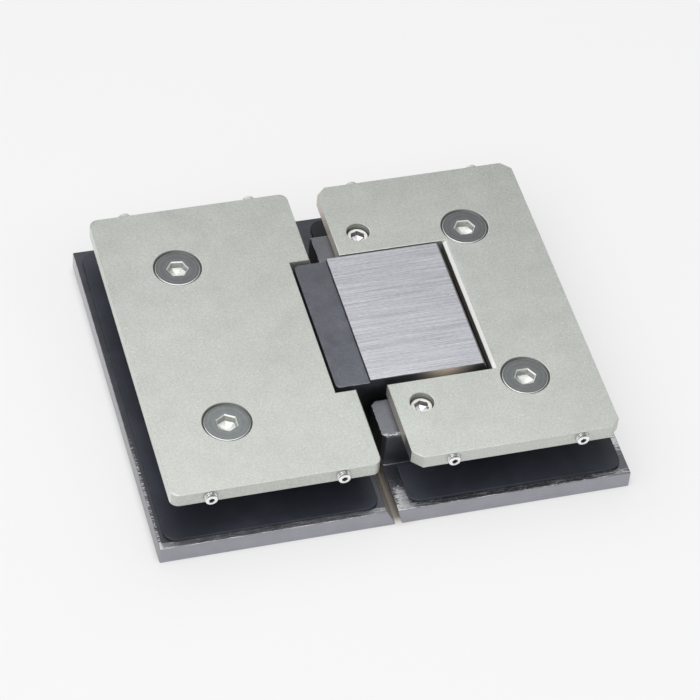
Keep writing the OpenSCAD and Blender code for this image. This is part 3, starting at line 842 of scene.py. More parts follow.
def outline(corners: list[Corner]) -> np.ndarray:
    """Points of an outline, with its round corners as arcs.

    They run counter-clockwise: the sum of x dy - y dx over the sides is positive.
    """
    arcs = [c.arc(corners[i - 1], corners[(i + 1) % len(corners)]) for i, c in enumerate(corners)]
    points = np.concatenate(arcs)
    side = np.roll(points, -1, axis=0) - points
    area = (points[:, 0] * side[:, 1] - points[:, 1] * side[:, 0]).sum()
    return points if area > 0 else points[::-1]


def inset(points: np.ndarray, distance: float) -> np.ndarray:
    """Outline moved inwards by a distance d.

    Each point moves by d (m + n) / (1 + m . n), where m and n are the normals of its two sides.
    """
    ahead = np.roll(points, -1, axis=0) - points
    ahead /= np.linalg.norm(ahead, axis=1, keepdims=True)
    after = np.stack([-ahead[:, 1], ahead[:, 0]], axis=-1)
    before = np.roll(after, 1, axis=0)
    return points + distance * (before + after) / (1.0 + (before * after).sum(axis=1, keepdims=True))


@dataclass(frozen=True)
class Bore:
    """Round hole through a slab.

    It has a middle, and the radius, height and cut number of each of its rings from the top down.
    """

    x: float
    y: float
    rings: list[tuple[float, float, float]]

    def build(self, shell: Shell, steps: int = 64) -> tuple[np.ndarray, np.ndarray]:
        """Add the hole's wall and return its top and bottom ring."""
        angle = 2 * np.pi * np.arange(steps) / steps
        circle = np.stack([np.cos(angle), np.sin(angle), np.zeros(steps)], axis=-1)
        numbers = [shell.ring(circle * radius + (self.x, self.y, z)) for radius, z, _ in self.rings]
        for upper, lower, (_, _, cut) in zip(numbers, numbers[1:], self.rings[1:]):
            shell.band(upper, lower, cut)
        return numbers[0], numbers[-1]


def plain_bore(
    node: str, centre_node: str, radius: float, edge: float, rim_cut: float = 0.0, wall_cut: float = 0.0,
) -> Bore:
    """Round hole with broken edges from the top to the underside of a flat piece.

    Args:
        node: The flat piece.
        centre_node: Upright piece that stands in the middle of the hole.
        radius: The hole's radius.
        edge: Width of its broken edges.
        rim_cut: Cut number of the upper broken edge.
        wall_cut: Cut number of the wall.

    Returns:
        The hole.
    """
    low, high = (corner[2] for corner in span(node))
    x, y, _ = middle(centre_node)
    rings = [
        (radius + edge, high, 0.0),
        (radius, high - edge, rim_cut),
        (radius, low + edge, wall_cut),
        (radius + edge, low, 0.0),
    ]
    return Bore(float(x), float(y), rings)


@dataclass(frozen=True)
class SideBore:
    """Blind round hole in a wall that faces along Y."""

    x: float
    z: float
    side: Side
    radius: float
    depth: float

    def build(self, shell: Shell, wall_y: float, steps: int = 40) -> np.ndarray:
        """Add the hole's wall and floor, and return its ring in the plane of the wall."""
        angle = 2 * np.pi * np.arange(steps) / steps
        circle = np.stack([np.cos(angle), np.zeros(steps), np.sin(angle)], axis=-1)
        inwards = -self.side.value
        rings = [(self.radius, 0.0), (self.radius, self.depth), (0.0, self.depth)]
        numbers = [shell.ring(circle * r + (self.x, wall_y + inwards * d, self.z)) for r, d in rings]
        for outer, inner in zip(numbers, numbers[1:]):
            shell.band(outer, inner)
        return numbers[0]


@dataclass(frozen=True)
class Slab:
    """Flat plate or gasket: an outline between two heights, with rounded edges and holes.

    The rounding's ring at angle t lies e (1 - cos t) inside the outline and e (1 - sin t) short
    of the flat face, for a rounding of radius e.
    """

    node: str
    corners: list[Corner]
    edge: float
    bores: list[Bore]
    side_bores: list[SideBore] = field(default_factory=list)
    bare_wall_x: float | None = None
    bare_chamfer: float = 0.85
    # Cut numbers of that wall: a painted highlight on its chamfer and painted shade below it.
    chamfer_cut: float = 1.0
    bare_wall_cut: float = -0.5
    steps: int = 4

    def build(self, finishes: Finishes) -> bpy.types.Object:
        """Make the piece, which replaces its node.

        The wall at bare_wall_x has a chamfer of 45 degrees along its top, with a painted highlight, and
        painted shade below it.
        """
        low, high = (corner[2] for corner in span(self.node))
        points = outline(self.corners)
        part = np.linspace(0.0, np.pi / 2, self.steps)
        depth = self.edge * (1.0 - np.cos(part))
        short = self.edge * (1.0 - np.sin(part))
        levels = [(d, low + s) for d, s in zip(depth[::-1], short[::-1])]
        levels += [(d, high - s) for d, s in zip(depth, short)]
        shell = Shell()
        chamfered = self.is_bare(points[:, 0])
        rings = []
        for d, z in levels:
            places = inset(points, d)
            places[:, 0] -= chamfered * min(high - z, self.bare_chamfer)
            rings.append(shell.ring(np.column_stack([places, np.full(len(points), z)])))
        for index, (under, over) in enumerate(zip(rings, rings[1:])):
            if index == self.steps - 1:
                self.build_wall(shell, points, under, over, high)
            else:
                shell.band(under, over)
        ends = [bore.build(shell) for bore in self.bores]
        shell.face([rings[-1]] + [top for top, _ in ends])
        shell.face([rings[0]] + [bottom for _, bottom in ends])
        piece = add_piece(self.node, shell.mesh(f"{self.node}_finished"), finishes)
        flatten_shading(piece)
        return piece

    def is_bare(self, x: np.ndarray) -> np.ndarray:
        """Whether a point with that X lies on the chamfered wall with the painted highlight."""
        if self.bare_wall_x is None:
            return np.zeros(len(x), dtype=bool)
        return np.abs(x - self.bare_wall_x) < ON_WALL_MM

    def build_wall(
        self, shell: Shell, points: np.ndarray, under: np.ndarray, over: np.ndarray, high: float,
    ) -> None:
        """Add the flat part of the walls, with the side holes and the chamfered wall with the painted
        highlight.

        Args:
            shell: Surface that the faces are added to.
            points: The outline.
            under: Point numbers of the ring at the foot of the walls.
            over: Point numbers of the ring at their top.
            high: Height of the slab's top.
        """
        step = np.roll(points, -1, axis=0) - points
        outer_y = abs(points[:, 1]).max() - SAME_MM
        special = []
        for index in np.flatnonzero(np.abs(step[:, 1]) < SAME_MM):
            start, width = points[index], step[index, 0]
            holes = [
                bore.build(shell, start[1])
                for bore in self.side_bores
                if bore.side.value * start[1] > outer_y and 0 < (bore.x - start[0]) / width < 1
            ]
            if holes:
                following = (index + 1) % len(points)
                corners = np.array([under[index], under[following], over[following], over[index]])
                shell.face([corners] + holes)
                special.append(int(index))
        # The wall at bare_wall_x: painted highlight on its chamfer, painted shade on the wall below.
        bare = self.is_bare(points[:, 0])
        for index in np.flatnonzero(bare & np.roll(bare, -1)):
            before, after, beyond = ((index + k) % len(points) for k in (-1, 1, 2))
            places = np.column_stack([points[[index, after]], [high, high]])
            foot = shell.ring(places - (self.bare_chamfer, 0.0, self.bare_chamfer))
            shell.add(np.array([[*foot, over[after], over[index]]]), self.chamfer_cut)
            shell.add(np.array([[under[index], under[after], *foot[::-1]]]), self.bare_wall_cut)
            shell.face([np.array([under[before], under[index], foot[0], over[index], over[before]])])
            shell.face([np.array([under[after], under[beyond], over[beyond], over[after], foot[1]])])
            special += [int(before), int(index), int(after)]
        shell.band(under, over, open_at=special)


@dataclass(frozen=True)
class Milled:
    """A milled piece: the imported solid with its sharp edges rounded.

    The copy of the node is merged, its flat faces are made whole, and a Bevel modifier rounds
    every edge that turns by more than the limit angle.
    """

    node: str
    edge: float = 0.25
    steps: int = 2
    limit: float = 30.0
    flat_within: float = 0.3

    def build(self, finishes: Finishes) -> bpy.types.Object:
        """Make the piece, which replaces its node."""
        mesh = bmesh.new()
        mesh.from_mesh(frame["nodes"][self.node].data)
        bmesh.ops.remove_doubles(mesh, verts=mesh.verts, dist=MERGE_M)
        bmesh.ops.dissolve_limit(
            mesh, angle_limit=math.radians(self.flat_within), use_dissolve_boundaries=False,
            verts=mesh.verts, edges=mesh.edges,
        )
        data = bpy.data.meshes.new(f"{self.node}_finished")
        mesh.to_mesh(data)
        mesh.free()
        data.shade_smooth()
        data.materials.clear()
        piece = add_piece(self.node, data, finishes)
        bevel = piece.modifiers.new("edges", "BEVEL")
        bevel.width = self.edge * MM
        bevel.segments = self.steps
        bevel.limit_method = "ANGLE"
        bevel.angle_limit = math.radians(self.limit)
        bevel.use_clamp_overlap = False
        bevel.miter_outer = "MITER_ARC"
        flatten_shading(piece)
        return piece


@dataclass(frozen=True)
class Ring:
    """One ring of a turned surface.

    A plain ring is a circle. A hexagonal ring is a hexagon of that half width across its flats,
    whose corners rise by slope times their extra reach. A ring with a thread pitch is part of a
    helical groove. Cut is the cut number of the band that ends at this ring.
    """

    radius: float
    height: float
    hexagon: bool = False
    slope: float = 0.0
    pitch: float = 0.0
    cut: float = 0.0


def thread(radius: float, low: float, high: float, pitch: float, rows: int = 8) -> list[Ring]:
    """Rings of a threaded stretch between two heights, rows for each turn of the thread."""
    heights = np.linspace(low, high, int(round((high - low) / pitch * rows)) + 1)
    return [Ring(radius, float(height), pitch=pitch) for height in heights]


@dataclass(frozen=True)
class Turned:
    """A turned piece: rings at heights along its own axis, from its tail to its socket.

    Point (i, j) lies at angle a(j) = turn + 360 j / steps on ring i, at (r cos a, r sin a,
    height). On a hexagonal ring r = half width / cos(distance of a from the middle of its flat).
    On a threaded ring r is less by depth x pitch x w(height / pitch - a / 360), where w is a wave
    that is 0 on the crest and 1 in the groove.
    """

    node: str
    rings: list[Ring]
    origin: Point
    axis: Axis = Axis.UP
    turn: float = 0.0
    steps: int = 72
    hollow: bool = False
    crest: float = 0.15
    flank: float = 0.7

    def build(self, finishes: Finishes) -> bpy.types.Object:
        """Make the piece, which replaces its node."""
        angle = 2 * np.pi * np.arange(self.steps) / self.steps
        flat = np.pi / 3
        from_flat = (angle + flat / 2) % flat - flat / 2
        radius, height, hexagon, slope, pitch = (
            np.array([getattr(ring, key) for ring in self.rings], dtype=float)[:, None]
            for key in ("radius", "height", "hexagon", "slope", "pitch")
        )
        reach = np.where(hexagon > 0, radius / np.cos(from_flat), radius)
        height = height + slope * (reach - radius)
        turns = height / np.where(pitch > 0, pitch, 1.0) - angle / (2 * np.pi)
        wave = np.abs(2.0 * (turns % 1.0) - 1.0)
        groove = np.where(pitch > 0, np.clip((wave - self.crest) / self.flank, 0.0, 1.0), 0.0)
        reach = reach - THREAD_DEPTH * pitch * groove
        around = angle + math.radians(self.turn)
        grid = np.broadcast_arrays(reach * np.cos(around), reach * np.sin(around), height)
        places = np.stack(grid, axis=-1) @ self.axis.turn().T + np.array(self.origin)
        shell = Shell()
        rings = [shell.ring(row) for row in places]
        pairs = list(zip(rings, rings[1:], self.rings[1:]))
        if self.hollow:
            pairs.append((rings[-1], rings[0], self.rings[0]))
        for under, over, ring in pairs:
            shell.band(under, over, ring.cut)
        numbers = {
            key: np.broadcast_to(values, reach.shape).ravel()
            for key, values in (("radius", reach), ("height", height), ("groove", groove))
        }
        data = shell.mesh(f"{self.node}_finished", numbers)
        return add_piece(self.node, data, finishes)


@dataclass(frozen=True)
class SocketCuts:
    """Cut numbers of a screw's face and of its socket's lip, walls and floor, which paint its highlights
    and the socket's light and shade.
    """

    face: float = 0.0
    lip: float = 1.0
    walls: float = 0.4
    floor: float = 1.0


def hexagon_socket(
    half_width: float, top: float, lip: float, depth: float, cuts: SocketCuts,
) -> list[Ring]:
    """Rings of a hexagon socket, from the head's face to the socket's floor.

    Args:
        half_width: Half of the distance across its flats.
        top: Height of the head's face.
        lip: Width and depth of the bright broken edge round the socket.
        depth: Depth of the socket's walls.
        cuts: Cut numbers of the face and of the socket.

    Returns:
        The rings.
    """
    return [
        Ring(half_width + lip, top, hexagon=True, cut=cuts.face),
        Ring(half_width, top - lip, hexagon=True, cut=cuts.lip),
        Ring(half_width, top - depth, hexagon=True, cut=cuts.walls),
        Ring(0.0, top - depth - CONE_DEPTH * half_width, cut=cuts.floor),
    ]


def round_size(node: str, axis: Axis) -> tuple[np.ndarray, float, float, float]:
    """Measure a round piece that lies along an axis.

    Args:
        node: The piece.
        axis: Its axis.

    Returns:
        Its middle, its half length, and its lesser and greater half width, which differ a little
        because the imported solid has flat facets. All are in millimetres.
    """
    low, high = span(node)
    along = np.abs(np.array(axis.value))
    half = (high - low) / 2
    lesser, greater = np.sort(half[along < 1.0])
    return (low + high) / 2, float(along @ half), float(lesser), float(greater)


@dataclass(frozen=True)
class Coil:
    """Coil spring along X: one round wire on a helix.

    Ring i of the wire lies round the helix point (x0 + p t, r cos 2 pi t, r sin 2 pi t), in the
    plane of the outward direction and of its cross product with the helix's own direction.
    """

    node: str
    wire: float = 0.9
    turns: float = 4.5
    steps: int = 36
    sides: int = 14

    def build(self, finishes: Finishes) -> bpy.types.Object:
        """Make the piece, which replaces its node."""
        low, high = span(self.node)
        centre = (low + high) / 2
        wire_r = self.wire / 2
        radius = (high[2] - low[2]) / 2 - wire_r
        pitch = (high[0] - low[0] - self.wire) / self.turns
        part = np.linspace(0.0, self.turns, int(self.turns * self.steps) + 1)
        angle = 2 * np.pi * part
        zero = np.zeros_like(angle)
        outward = np.stack([zero, np.cos(angle), np.sin(angle)], axis=-1)
        helix = outward * radius + np.stack([low[0] + wire_r + pitch * part, zero, zero], axis=-1)
        rise = zero + pitch / (2 * np.pi)
        ahead = np.stack([rise, -radius * np.sin(angle), radius * np.cos(angle)], axis=-1)
        ahead /= np.linalg.norm(ahead, axis=1, keepdims=True)
        across = np.cross(ahead, outward)
        around = 2 * np.pi * np.arange(self.sides) / self.sides
        circle = np.cos(around)[:, None] * outward[:, None] + np.sin(around)[:, None] * across[:, None]
        places = helix[:, None] + wire_r * circle + np.array([0.0, centre[1], centre[2]])
        shell = Shell()
        rings = [shell.ring(row) for row in places]
        for before, after in zip(rings, rings[1:]):
            shell.band(before, after)
        shell.face([rings[0]])
        shell.face([rings[-1]])
        return add_piece(self.node, shell.mesh(f"{self.node}_finished"), finishes)


@dataclass(frozen=True)
class SunkScrew:
    """Countersunk screw that stands upright, with a thread and a hexagon socket."""

    node: str
    turn: float
    rim: float = 0.1
    thread_r: float = 2.95
    pitch: float = 1.0
    plain_neck: float = 1.5
    tip_chamfer: float = 0.4
    edge: float = 0.22
    # Painted highlight on the head's edge, and a flat ring of painted shade inside it.
    edge_cut: float = 0.55
    face_groove: float = 0.07
    groove_cut: float = -0.8
    socket_half: float = 2.0
    lip: float = 0.24
    socket_depth: float = 1.8

    def build(self, finishes: Finishes) -> bpy.types.Object:
        """Make the piece, which replaces its node."""
        low, high = span(self.node)
        x, y, _ = (low + high) / 2
        head, top, tip = (high[0] - low[0]) / 2, high[2], low[2]
        foot = top - self.rim - (head - self.thread_r)
        rings = [
            Ring(0.0, tip),
            Ring(self.thread_r - self.tip_chamfer, tip),
            *thread(self.thread_r, tip + self.tip_chamfer, foot - self.plain_neck, self.pitch),
            Ring(self.thread_r, foot - self.plain_neck),
            Ring(self.thread_r, foot),
            Ring(head, top - self.rim),
            Ring(head - self.edge, top, cut=self.edge_cut),
            Ring(head - self.edge - self.face_groove, top, cut=self.groove_cut),
            *hexagon_socket(self.socket_half, top, self.lip, self.socket_depth, SocketCuts()),
        ]
        return Turned(self.node, rings, (x, y, 0.0), turn=self.turn).build(finishes)


@dataclass(frozen=True)
class GrubScrew:
    """Headless screw with a thread from end to end and a hexagon socket in its head's end.

    The rim round the socket's end is rounded in two steps.
    """

    node: str
    axis: Axis
    rim: float
    pitch: float
    socket_half: float
    socket_depth: float
    lip: float = 0.14
    # A rim cut above 0 paints a highlight round the socket's end.
    rim_cut: float = 1.0
    rim_step: float = 0.4
    cuts: SocketCuts = SocketCuts()
    turn: float = 0.0
    tip_chamfer: float = 0.4

    def build(self, finishes: Finishes) -> bpy.types.Object:
        """Make the piece, which replaces its node."""
        centre, half, radius, _ = round_size(self.node, self.axis)
        tail = -2.0 * half
        step = self.rim_step * self.rim
        rings = [
            Ring(0.0, tail),
            Ring(radius - self.tip_chamfer, tail),
            *thread(radius, tail + self.tip_chamfer, -self.rim, self.pitch),
            Ring(radius - step, -step),
            Ring(radius - self.rim, 0.0, cut=self.rim_cut),
            *hexagon_socket(self.socket_half, 0.0, self.lip, self.socket_depth, self.cuts),
        ]
        origin = tuple(centre + half * np.array(self.axis.value))
        return Turned(self.node, rings, origin, self.axis, self.turn).build(finishes)


@dataclass(frozen=True)
class Sleeve:
    """Hollow round piece: a bush, washer or sleeve with broken edges."""

    node: str
    axis: Axis
    bore: float
    edge: float = 0.2

    def build(self, finishes: Finishes) -> bpy.types.Object:
        """Make the piece, which replaces its node."""
        centre, half, _, radius = round_size(self.node, self.axis)
        walls = half - self.edge
        rings = [
            Ring(radius - self.edge, -half),
            Ring(radius, -walls),
            Ring(radius, walls),
            Ring(radius - self.edge, half),
            Ring(self.bore + self.edge, half),
            Ring(self.bore, walls),
            Ring(self.bore, -walls),
            Ring(self.bore + self.edge, -half),
        ]
        return Turned(self.node, rings, tuple(centre), self.axis, hollow=True).build(finishes)


@dataclass(frozen=True)
class ClampPlate:
    """Pale plate that presses the glass: its outline, notch, countersinks and cover screw holes."""

    leaf: Leaf
    corners: list[Corner]
    access: list[Bore] = field(default_factory=list)
    bare_wall_x: float | None = None
    edge: float = 0.18
    sink_r: float = 5.55
    hole_r: float = 3.2
    sink_rim: float = 0.1
    # Painted highlight on the countersink's rim and painted shade on its cone.
    sink_rim_cut: float = 0.7
    sink_cone_cut: float = -0.82
    cover_hole_r: float = 1.5
    cover_hole_depth: float = 6.0

    @property
    def node(self) -> str:
        """Name of its node."""
        return f"{self.leaf.prefix}_clamp_plate"

    def sink(self, side: Side) -> Bore:
        """Countersunk hole round one clamp screw."""
        x, y, _ = middle(f"{self.leaf.prefix}_clamp_screw_{side.word}")
        low, high = (corner[2] for corner in span(self.node))
        rings = [
            (self.sink_r + self.sink_rim / 2, high, 0.0),
            (self.sink_r - self.sink_rim / 3, high - self.sink_rim, self.sink_rim_cut),
            (self.hole_r, high - (self.sink_r - self.hole_r), self.sink_cone_cut),
            (self.hole_r, low + self.sink_rim, 0.0),
            (self.hole_r + self.sink_rim, low, 0.0),
        ]
        return Bore(float(x), float(y), rings)

    def cover_hole(self, side: Side, end: str) -> SideBore:
        """Threaded hole of one cover screw."""
        x, _, z = middle(f"{self.leaf.prefix}_cover_screw_{side.word}_{end}")
        return SideBore(float(x), float(z), side, self.cover_hole_r, self.cover_hole_depth)

    def build(self, finishes: Finishes) -> None:
        """Make the plate."""
        bores = [self.sink(side) for side in Side] + self.access
        side_bores = [self.cover_hole(side, end) for side in Side for end in ("left", "right")]
        Slab(self.node, self.corners, self.edge, bores, side_bores, self.bare_wall_x).build(finishes)


@dataclass(frozen=True)
class GasketSheet:
    """Flat gasket with a hole round each clamp screw."""

    node: str
    leaf: Leaf
    corners: list[Corner]
    hole_r: float
    edge: float = 0.14

    def build(self, finishes: Finishes) -> None:
        """Make the gasket."""
        screws = (f"{self.leaf.prefix}_clamp_screw_{side.word}" for side in Side)
        bores = [plain_bore(self.node, screw, self.hole_r, self.edge) for screw in screws]
        Slab(self.node, self.corners, self.edge, bores).build(finishes)


def mirrored(points: list[Corner]) -> list[Corner]:
    """Corners of the near half of an outline, followed by those of its far half."""
    return points + [Corner(c.x, -c.y, c.radius) for c in reversed(points)]


@dataclass
class LeafPieces:
    """Pieces that both leaves have alike: clamp screws, cover screws and sleeves."""

    leaf: Leaf
    screw_turns: dict[Side, float]
    sleeve_bore: float = 4.6
    cover_screw_turn: float = 12.0

    def build_screws(self, finishes: Finishes) -> None:
        """Make the clamp screws, sleeves and cover screws."""
        prefix = self.leaf.prefix
        for side in Side:
            SunkScrew(f"{prefix}_clamp_screw_{side.word}", self.screw_turns[side]).build(finishes)
            Sleeve(f"{prefix}_sleeve_{side.word}", Axis.UP, self.sleeve_bore).build(finishes)
            for end in ("left", "right"):
                GrubScrew(
                    f"{prefix}_cover_screw_{side.word}_{end}",
                    Axis[side.name],
                    rim=0.3,
                    pitch=0.5,
                    socket_half=0.55,
                    socket_depth=0.9,
                    lip=0.08,
                    rim_cut=0.0,
                    # These cuts lean the socket towards the slot's painted socket colour.
                    cuts=SocketCuts(lip=0.4, walls=0.95, floor=0.5),
                    turn=self.cover_screw_turn,
                ).build(finishes)


@dataclass
class FixedLeaf(LeafPieces):
    """Left leaf, which is screwed to the fixed glass and carries the pivot block."""

    leaf: Leaf = Leaf.FIXED
    screw_turns: dict[Side, float] = field(default_factory=lambda: {Side.NEAR: 60.0, Side.FAR: 23.0})
    corner_r: float = 2.0
    notch_x: float = -8.46
    notch_y: float = 20.1
    flange_room_x: float = -15.75
    flange_room_y: float = 32.35
    gasket_r: float = 2.8
    gasket_hole_r: dict[str, float] = field(default_factory=lambda: {"outer": 6.2, "inner": 4.7})

    def build(self, finishes: Finishes) -> None:
        """Make every piece of the leaf."""
        self.build_screws(finishes)
        Milled("fixed_outer_plate").build(finishes)
        low, high = span("fixed_clamp_plate")
        near_half = [
            Corner(self.notch_x, -self.notch_y), Corner(high[0], -self.notch_y),
            Corner(high[0], low[1], self.corner_r), Corner(low[0], low[1], self.corner_r),
        ]
        ClampPlate(self.leaf, mirrored(near_half)).build(finishes)
        for layer, hole_r in self.gasket_hole_r.items():
            node = f"fixed_{layer}_gasket"
            low, high = span(node)
            near_half = [
                Corner(self.flange_room_x, -self.flange_room_y), Corner(high[0], -self.flange_room_y),
                Corner(high[0], low[1], self.gasket_r), Corner(low[0], low[1], self.gasket_r),
            ]
            GasketSheet(node, self.leaf, mirrored(near_half), hole_r).build(finishes)


@dataclass
class DoorLeaf(LeafPieces):
    """Right leaf, which clamps the glass door and carries the pivot pin in two lugs."""

    leaf: Leaf = Leaf.DOOR
    screw_turns: dict[Side, float] = field(default_factory=lambda: {Side.NEAR: 30.0, Side.FAR: 26.0})
    set_screw_turns: dict[Side, float] = field(default_factory=lambda: {Side.NEAR: 60.0, Side.FAR: 50.0})
    chamfer: float = 2.2
    notch_x: float = 28.36
    notch_y: float = 20.1
    access_r: float = 2.7
    access_rim: float = 0.14
    # Painted highlight on the access hole's rim and painted shade on its wall.
    access_rim_cut: float = 0.6
    access_wall_cut: float = -0.4
    gasket_edge: float = 0.14

    def access(self, side: Side) -> Bore:
        """Hole above one set screw."""
        screw = f"pin_set_screw_{side.word}"
        cuts = (self.access_rim_cut, self.access_wall_cut)
        return plain_bore("door_clamp_plate", screw, self.access_r, self.access_rim, *cuts)

    def build(self, finishes: Finishes) -> None:
        """Make every piece of the leaf."""
        self.build_screws(finishes)
        for side in Side:
            GrubScrew(
                f"pin_set_screw_{side.word}",
                Axis.UP,
                rim=0.35,
                pitch=0.8,
                socket_half=1.5,
                socket_depth=1.5,
                # Near-white painted highlight on the face, rim and lip; walls lean to the slot's socket
                # colour, a painted shade.
                rim_cut=2.0,
                cuts=SocketCuts(face=2.0, lip=2.0, walls=0.8, floor=0.0),
                turn=self.set_screw_turns[side],
                tip_chamfer=0.7,
            ).build(finishes)
        Milled("door_outer_plate").build(finishes)
        low, high = span("door_clamp_plate")
        c = self.chamfer
        near_half = [
            Corner(self.notch_x, -self.notch_y), Corner(low[0], -self.notch_y),
            Corner(low[0], low[1] + c), Corner(low[0] + c, low[1]),
            Corner(high[0] - c, low[1]), Corner(high[0], low[1] + c),
        ]
        access = [self.access(side) for side in Side]
        ClampPlate(self.leaf, mirrored(near_half), access, bare_wall_x=self.notch_x).build(finishes)
        for layer in ("outer", "inner"):
            Milled(f"door_{layer}_gasket", edge=self.gasket_edge).build(finishes)


@dataclass(frozen=True)
class Pivot:
    """Pivot block and what it holds: bushes, washers, plungers, springs and plugs."""

    pin_bore: float = 3.05
    block_edge: float = 0.18
    washer_edge: float = 0.15
    plunger_chamfer: float = 0.5
    plunger_tail: float = 0.15

    def build(self, finishes: Finishes) -> None:
        """Make every piece of the pivot."""
        Milled("pivot_block", edge=self.block_edge).build(finishes)
        for side in Side:
            SunkScrew(f"block_screw_{side.word}", 30.0, rim=0.06).build(finishes)
            Sleeve(f"pin_bush_{side.word}", Axis.FAR, self.pin_bore).build(finishes)
            washer = f"thrust_washer_{side.word}"
            Sleeve(washer, Axis.FAR, self.pin_bore, self.washer_edge).build(finishes)
            Coil(f"detent_spring_{side.word}").build(finishes)
            GrubScrew(
                f"spring_plug_{side.word}",
                Axis.RIGHT,
                rim=0.4,
                pitch=0.75,
                socket_half=1.5,
                socket_depth=2.0,
            ).build(finishes)
            self.build_plunger(f"plunger_{side.word}", finishes)

    def build_plunger(self, node: str, finishes: Finishes) -> None:
        """Make one plunger, with its chamfered face towards the pin."""
        centre, half, _, radius = round_size(node, Axis.RIGHT)
        rings = [
            Ring(0.0, -half),
            Ring(radius - self.plunger_chamfer, -half),
            Ring(radius, self.plunger_chamfer - half),
            Ring(radius, half - self.plunger_tail),
            Ring(radius - self.plunger_tail, half),
            Ring(0.0, half),
        ]
        Turned(node, rings, tuple(centre), Axis.RIGHT).build(finishes)


@dataclass(frozen=True)
class PhotoView:
    """Camera at the photograph's viewing angle. Azimuth 0 looks along +Y; angles are in degrees."""

    azimuth: float = -19.196
    elevation: float = 46.84
    roll: float = 5.6
    distance: float = 739.83
    target: Point = (3.232, 6.764, 0.0)
    lens: float = 168.01
    sensor: float = 36.0
    clip_m: tuple[float, float] = (0.05, 20.0)

    def build(self) -> None:
        """Make the camera and set it as the scene's."""
        data = bpy.data.cameras.new("photo_view")
        data.lens = self.lens
        data.sensor_width = self.sensor
        data.clip_start, data.clip_end = self.clip_m
        camera = bpy.data.objects.new("photo_view", data)
        turn = (
            Matrix.Rotation(math.radians(self.azimuth), 4, "Z")
            @ Matrix.Rotation(math.radians(90.0 - self.elevation), 4, "X")
            @ Matrix.Rotation(math.radians(self.roll), 4, "Z")
        )
        back = turn.to_3x3() @ Vector((0.0, 0.0, self.distance * MM))
        camera.matrix_world = Matrix.Translation(Vector(self.target) * MM + back) @ turn
        bpy.context.scene.collection.objects.link(camera)
        bpy.context.scene.camera = camera


@dataclass(frozen=True)
class Lamp:
    """Square soft lamp that faces the hinge. Its power is that which gives its face this brightness."""

    name: str
    place_m: Point
    size_m: float
    brightness: float

    def build(self) -> None:
        """Make the lamp: power = 4 x area x brightness."""
        data = bpy.data.lights.new(self.name, "AREA")
        data.size = self.size_m
        data.energy = 4.0 * self.size_m**2 * self.brightness
        lamp = bpy.data.objects.new(self.name, data)
        lamp.location = self.place_m
        lamp.rotation_euler = (-Vector(self.place_m)).to_track_quat("-Z", "Y").to_euler()
        bpy.context.scene.collection.objects.link(lamp)


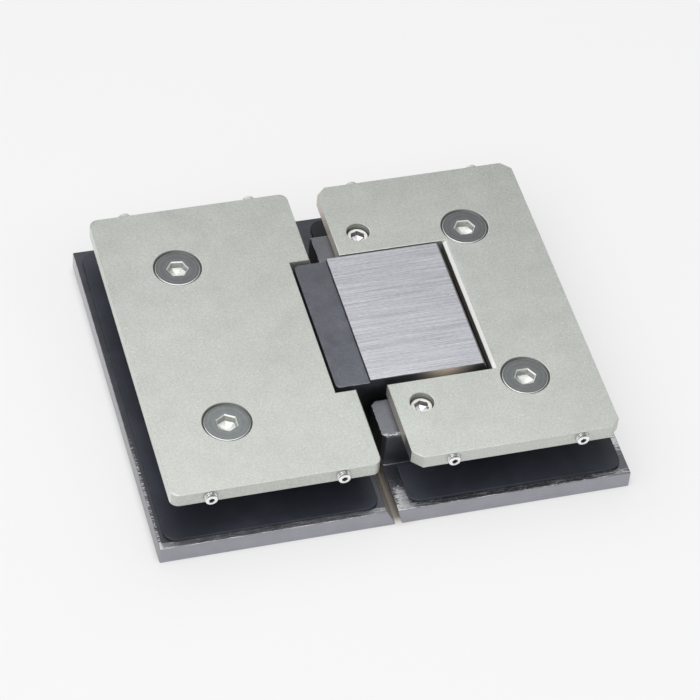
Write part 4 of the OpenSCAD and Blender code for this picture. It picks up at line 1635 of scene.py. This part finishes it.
@dataclass(frozen=True)
class Studio:
    """Pale floor, even light from all round and soft lamps.

    The floor glows like white paper to the camera and in reflections, but keeps a share of the
    hinge's shadow, more of it close to the hinge and all of it under it. In the gap between the
    leaves it is painted tan and darker, a painted shade. Half widths and half lengths are those of
    patches round the origin.
    """

    floor_size_m: float = 6.0
    floor_colour: Colour = (0.72, 0.72, 0.72)
    floor_cloud: Pattern = Pattern(300.0)
    # Tan painted shade on the floor in the gap between the leaves.
    gap_colour: Colour = (0.5, 0.44, 0.37)
    gap_x: float = 1.4
    gap_half_length: float = 45.5
    paper: Colour = (1.0, 1.0, 1.0)
    paper_fall_per_mm: float = 0.00016
    shadow: float = 0.25
    under_half: tuple[float, float] = (53.0, 44.0)
    beside_half: tuple[float, float] = (62.0, 54.0)
    beside_shade: float = 0.22
    sky: float = 0.355
    lamps: tuple[Lamp, ...] = (
        Lamp("left_lamp", (-0.36, -0.3, 0.48), 1.0, 0.84),
        Lamp("top_lamp", (-0.02, 0.1, 0.5), 0.42, 1.4),
    )

    def build(self) -> None:
        """Make the floor, the world and the lamps."""
        self.build_floor()
        self.build_world()
        for lamp in self.lamps:
            lamp.build()

    def build_floor(self) -> None:
        """Make the floor that the hinge lies on, which looks pale to the camera and in reflections."""
        half = self.floor_size_m / 2
        data = bpy.data.meshes.new("floor")
        corners = [(-half, -half, 0), (half, -half, 0), (half, half, 0), (-half, half, 0)]
        data.from_pydata(corners, [], [(0, 1, 2, 3)])
        recipe = Recipe("floor_paper")
        x, y = (recipe.coordinate(i) for i in range(2))
        out_x, out_y = x.math("ABSOLUTE"), y.math("ABSOLUTE")
        # Painted shade in the gap between the leaves.
        gap = x.near(self.gap_x, 4.0) * out_y.below(self.gap_half_length, 1.0)
        plain = recipe.mix(gap, self.floor_colour, self.gap_colour)
        recipe.set("Base Color", recipe.shade(plain, 0.98 + 0.04 * recipe.noise(self.floor_cloud)))
        recipe.set("Roughness", 0.9)
        recipe.set("Specular IOR Level", 0.1)
        seen = recipe.node("ShaderNodeLightPath", output="Is Camera Ray")
        for ray in ("Is Glossy Ray", "Is Transmission Ray"):
            seen = seen.math("MAXIMUM", recipe.node("ShaderNodeLightPath", output=ray))
        under, beside = (
            out_x.below(half_width, softness) * out_y.below(half_length, softness)
            for (half_width, half_length), softness in ((self.under_half, 3.0), (self.beside_half, 34.0))
        )
        lit = recipe.shade(self.paper, 1.0 - self.paper_fall_per_mm * y)
        paper = recipe.node("ShaderNodeEmission", inputs={"Color": lit, "Strength": 1.0})
        shader = Signal(recipe.tree, recipe.shader.outputs[0])
        share = (1.0 - self.shadow) * seen * (1.0 - under) * (1.0 - self.beside_shade * beside)
        mixed = recipe.node("ShaderNodeMixShader", inputs={0: share, 1: shader, 2: paper})
        output = next(n for n in recipe.tree.nodes if n.type == "OUTPUT_MATERIAL")
        feed(recipe.tree, output.inputs["Surface"], mixed)
        data.materials.append(recipe.material)
        floor = bpy.data.objects.new("floor", data)
        bpy.context.scene.collection.objects.link(floor)

    def build_world(self) -> None:
        """Give the world one pale colour."""
        world = bpy.data.worlds.new("studio")
        world.use_nodes = True
        background = next(n for n in world.node_tree.nodes if n.type == "BACKGROUND")
        background.inputs["Color"].default_value = (*grey(self.sky), 1.0)
        background.inputs["Strength"].default_value = 1.0
        bpy.context.scene.world = world


def dress_nodes(finishes: Finishes) -> None:
    """Give every node that keeps its own mesh the finish of its slot."""
    for name, node in frame["nodes"].items():
        if f"{name}_finished" in bpy.data.objects:
            continue
        node.data.materials.clear()
        node.data.materials.append(finishes.of(name))
        LOG.info("%s: the packed solid, with %s", name, SLOT_OF_NODE[name])


def main() -> None:
    """Build the hinge's pieces, dress the nodes, and set the stage."""
    logging.basicConfig(level=logging.INFO, format="%(name)s: %(message)s")
    finishes = Finishes()
    FixedLeaf().build(finishes)
    DoorLeaf().build(finishes)
    Pivot().build(finishes)
    dress_nodes(finishes)
    Studio().build()
    PhotoView().build()
    bpy.context.scene.view_settings.view_transform = "Standard"


if __name__ == "__main__":
    main()
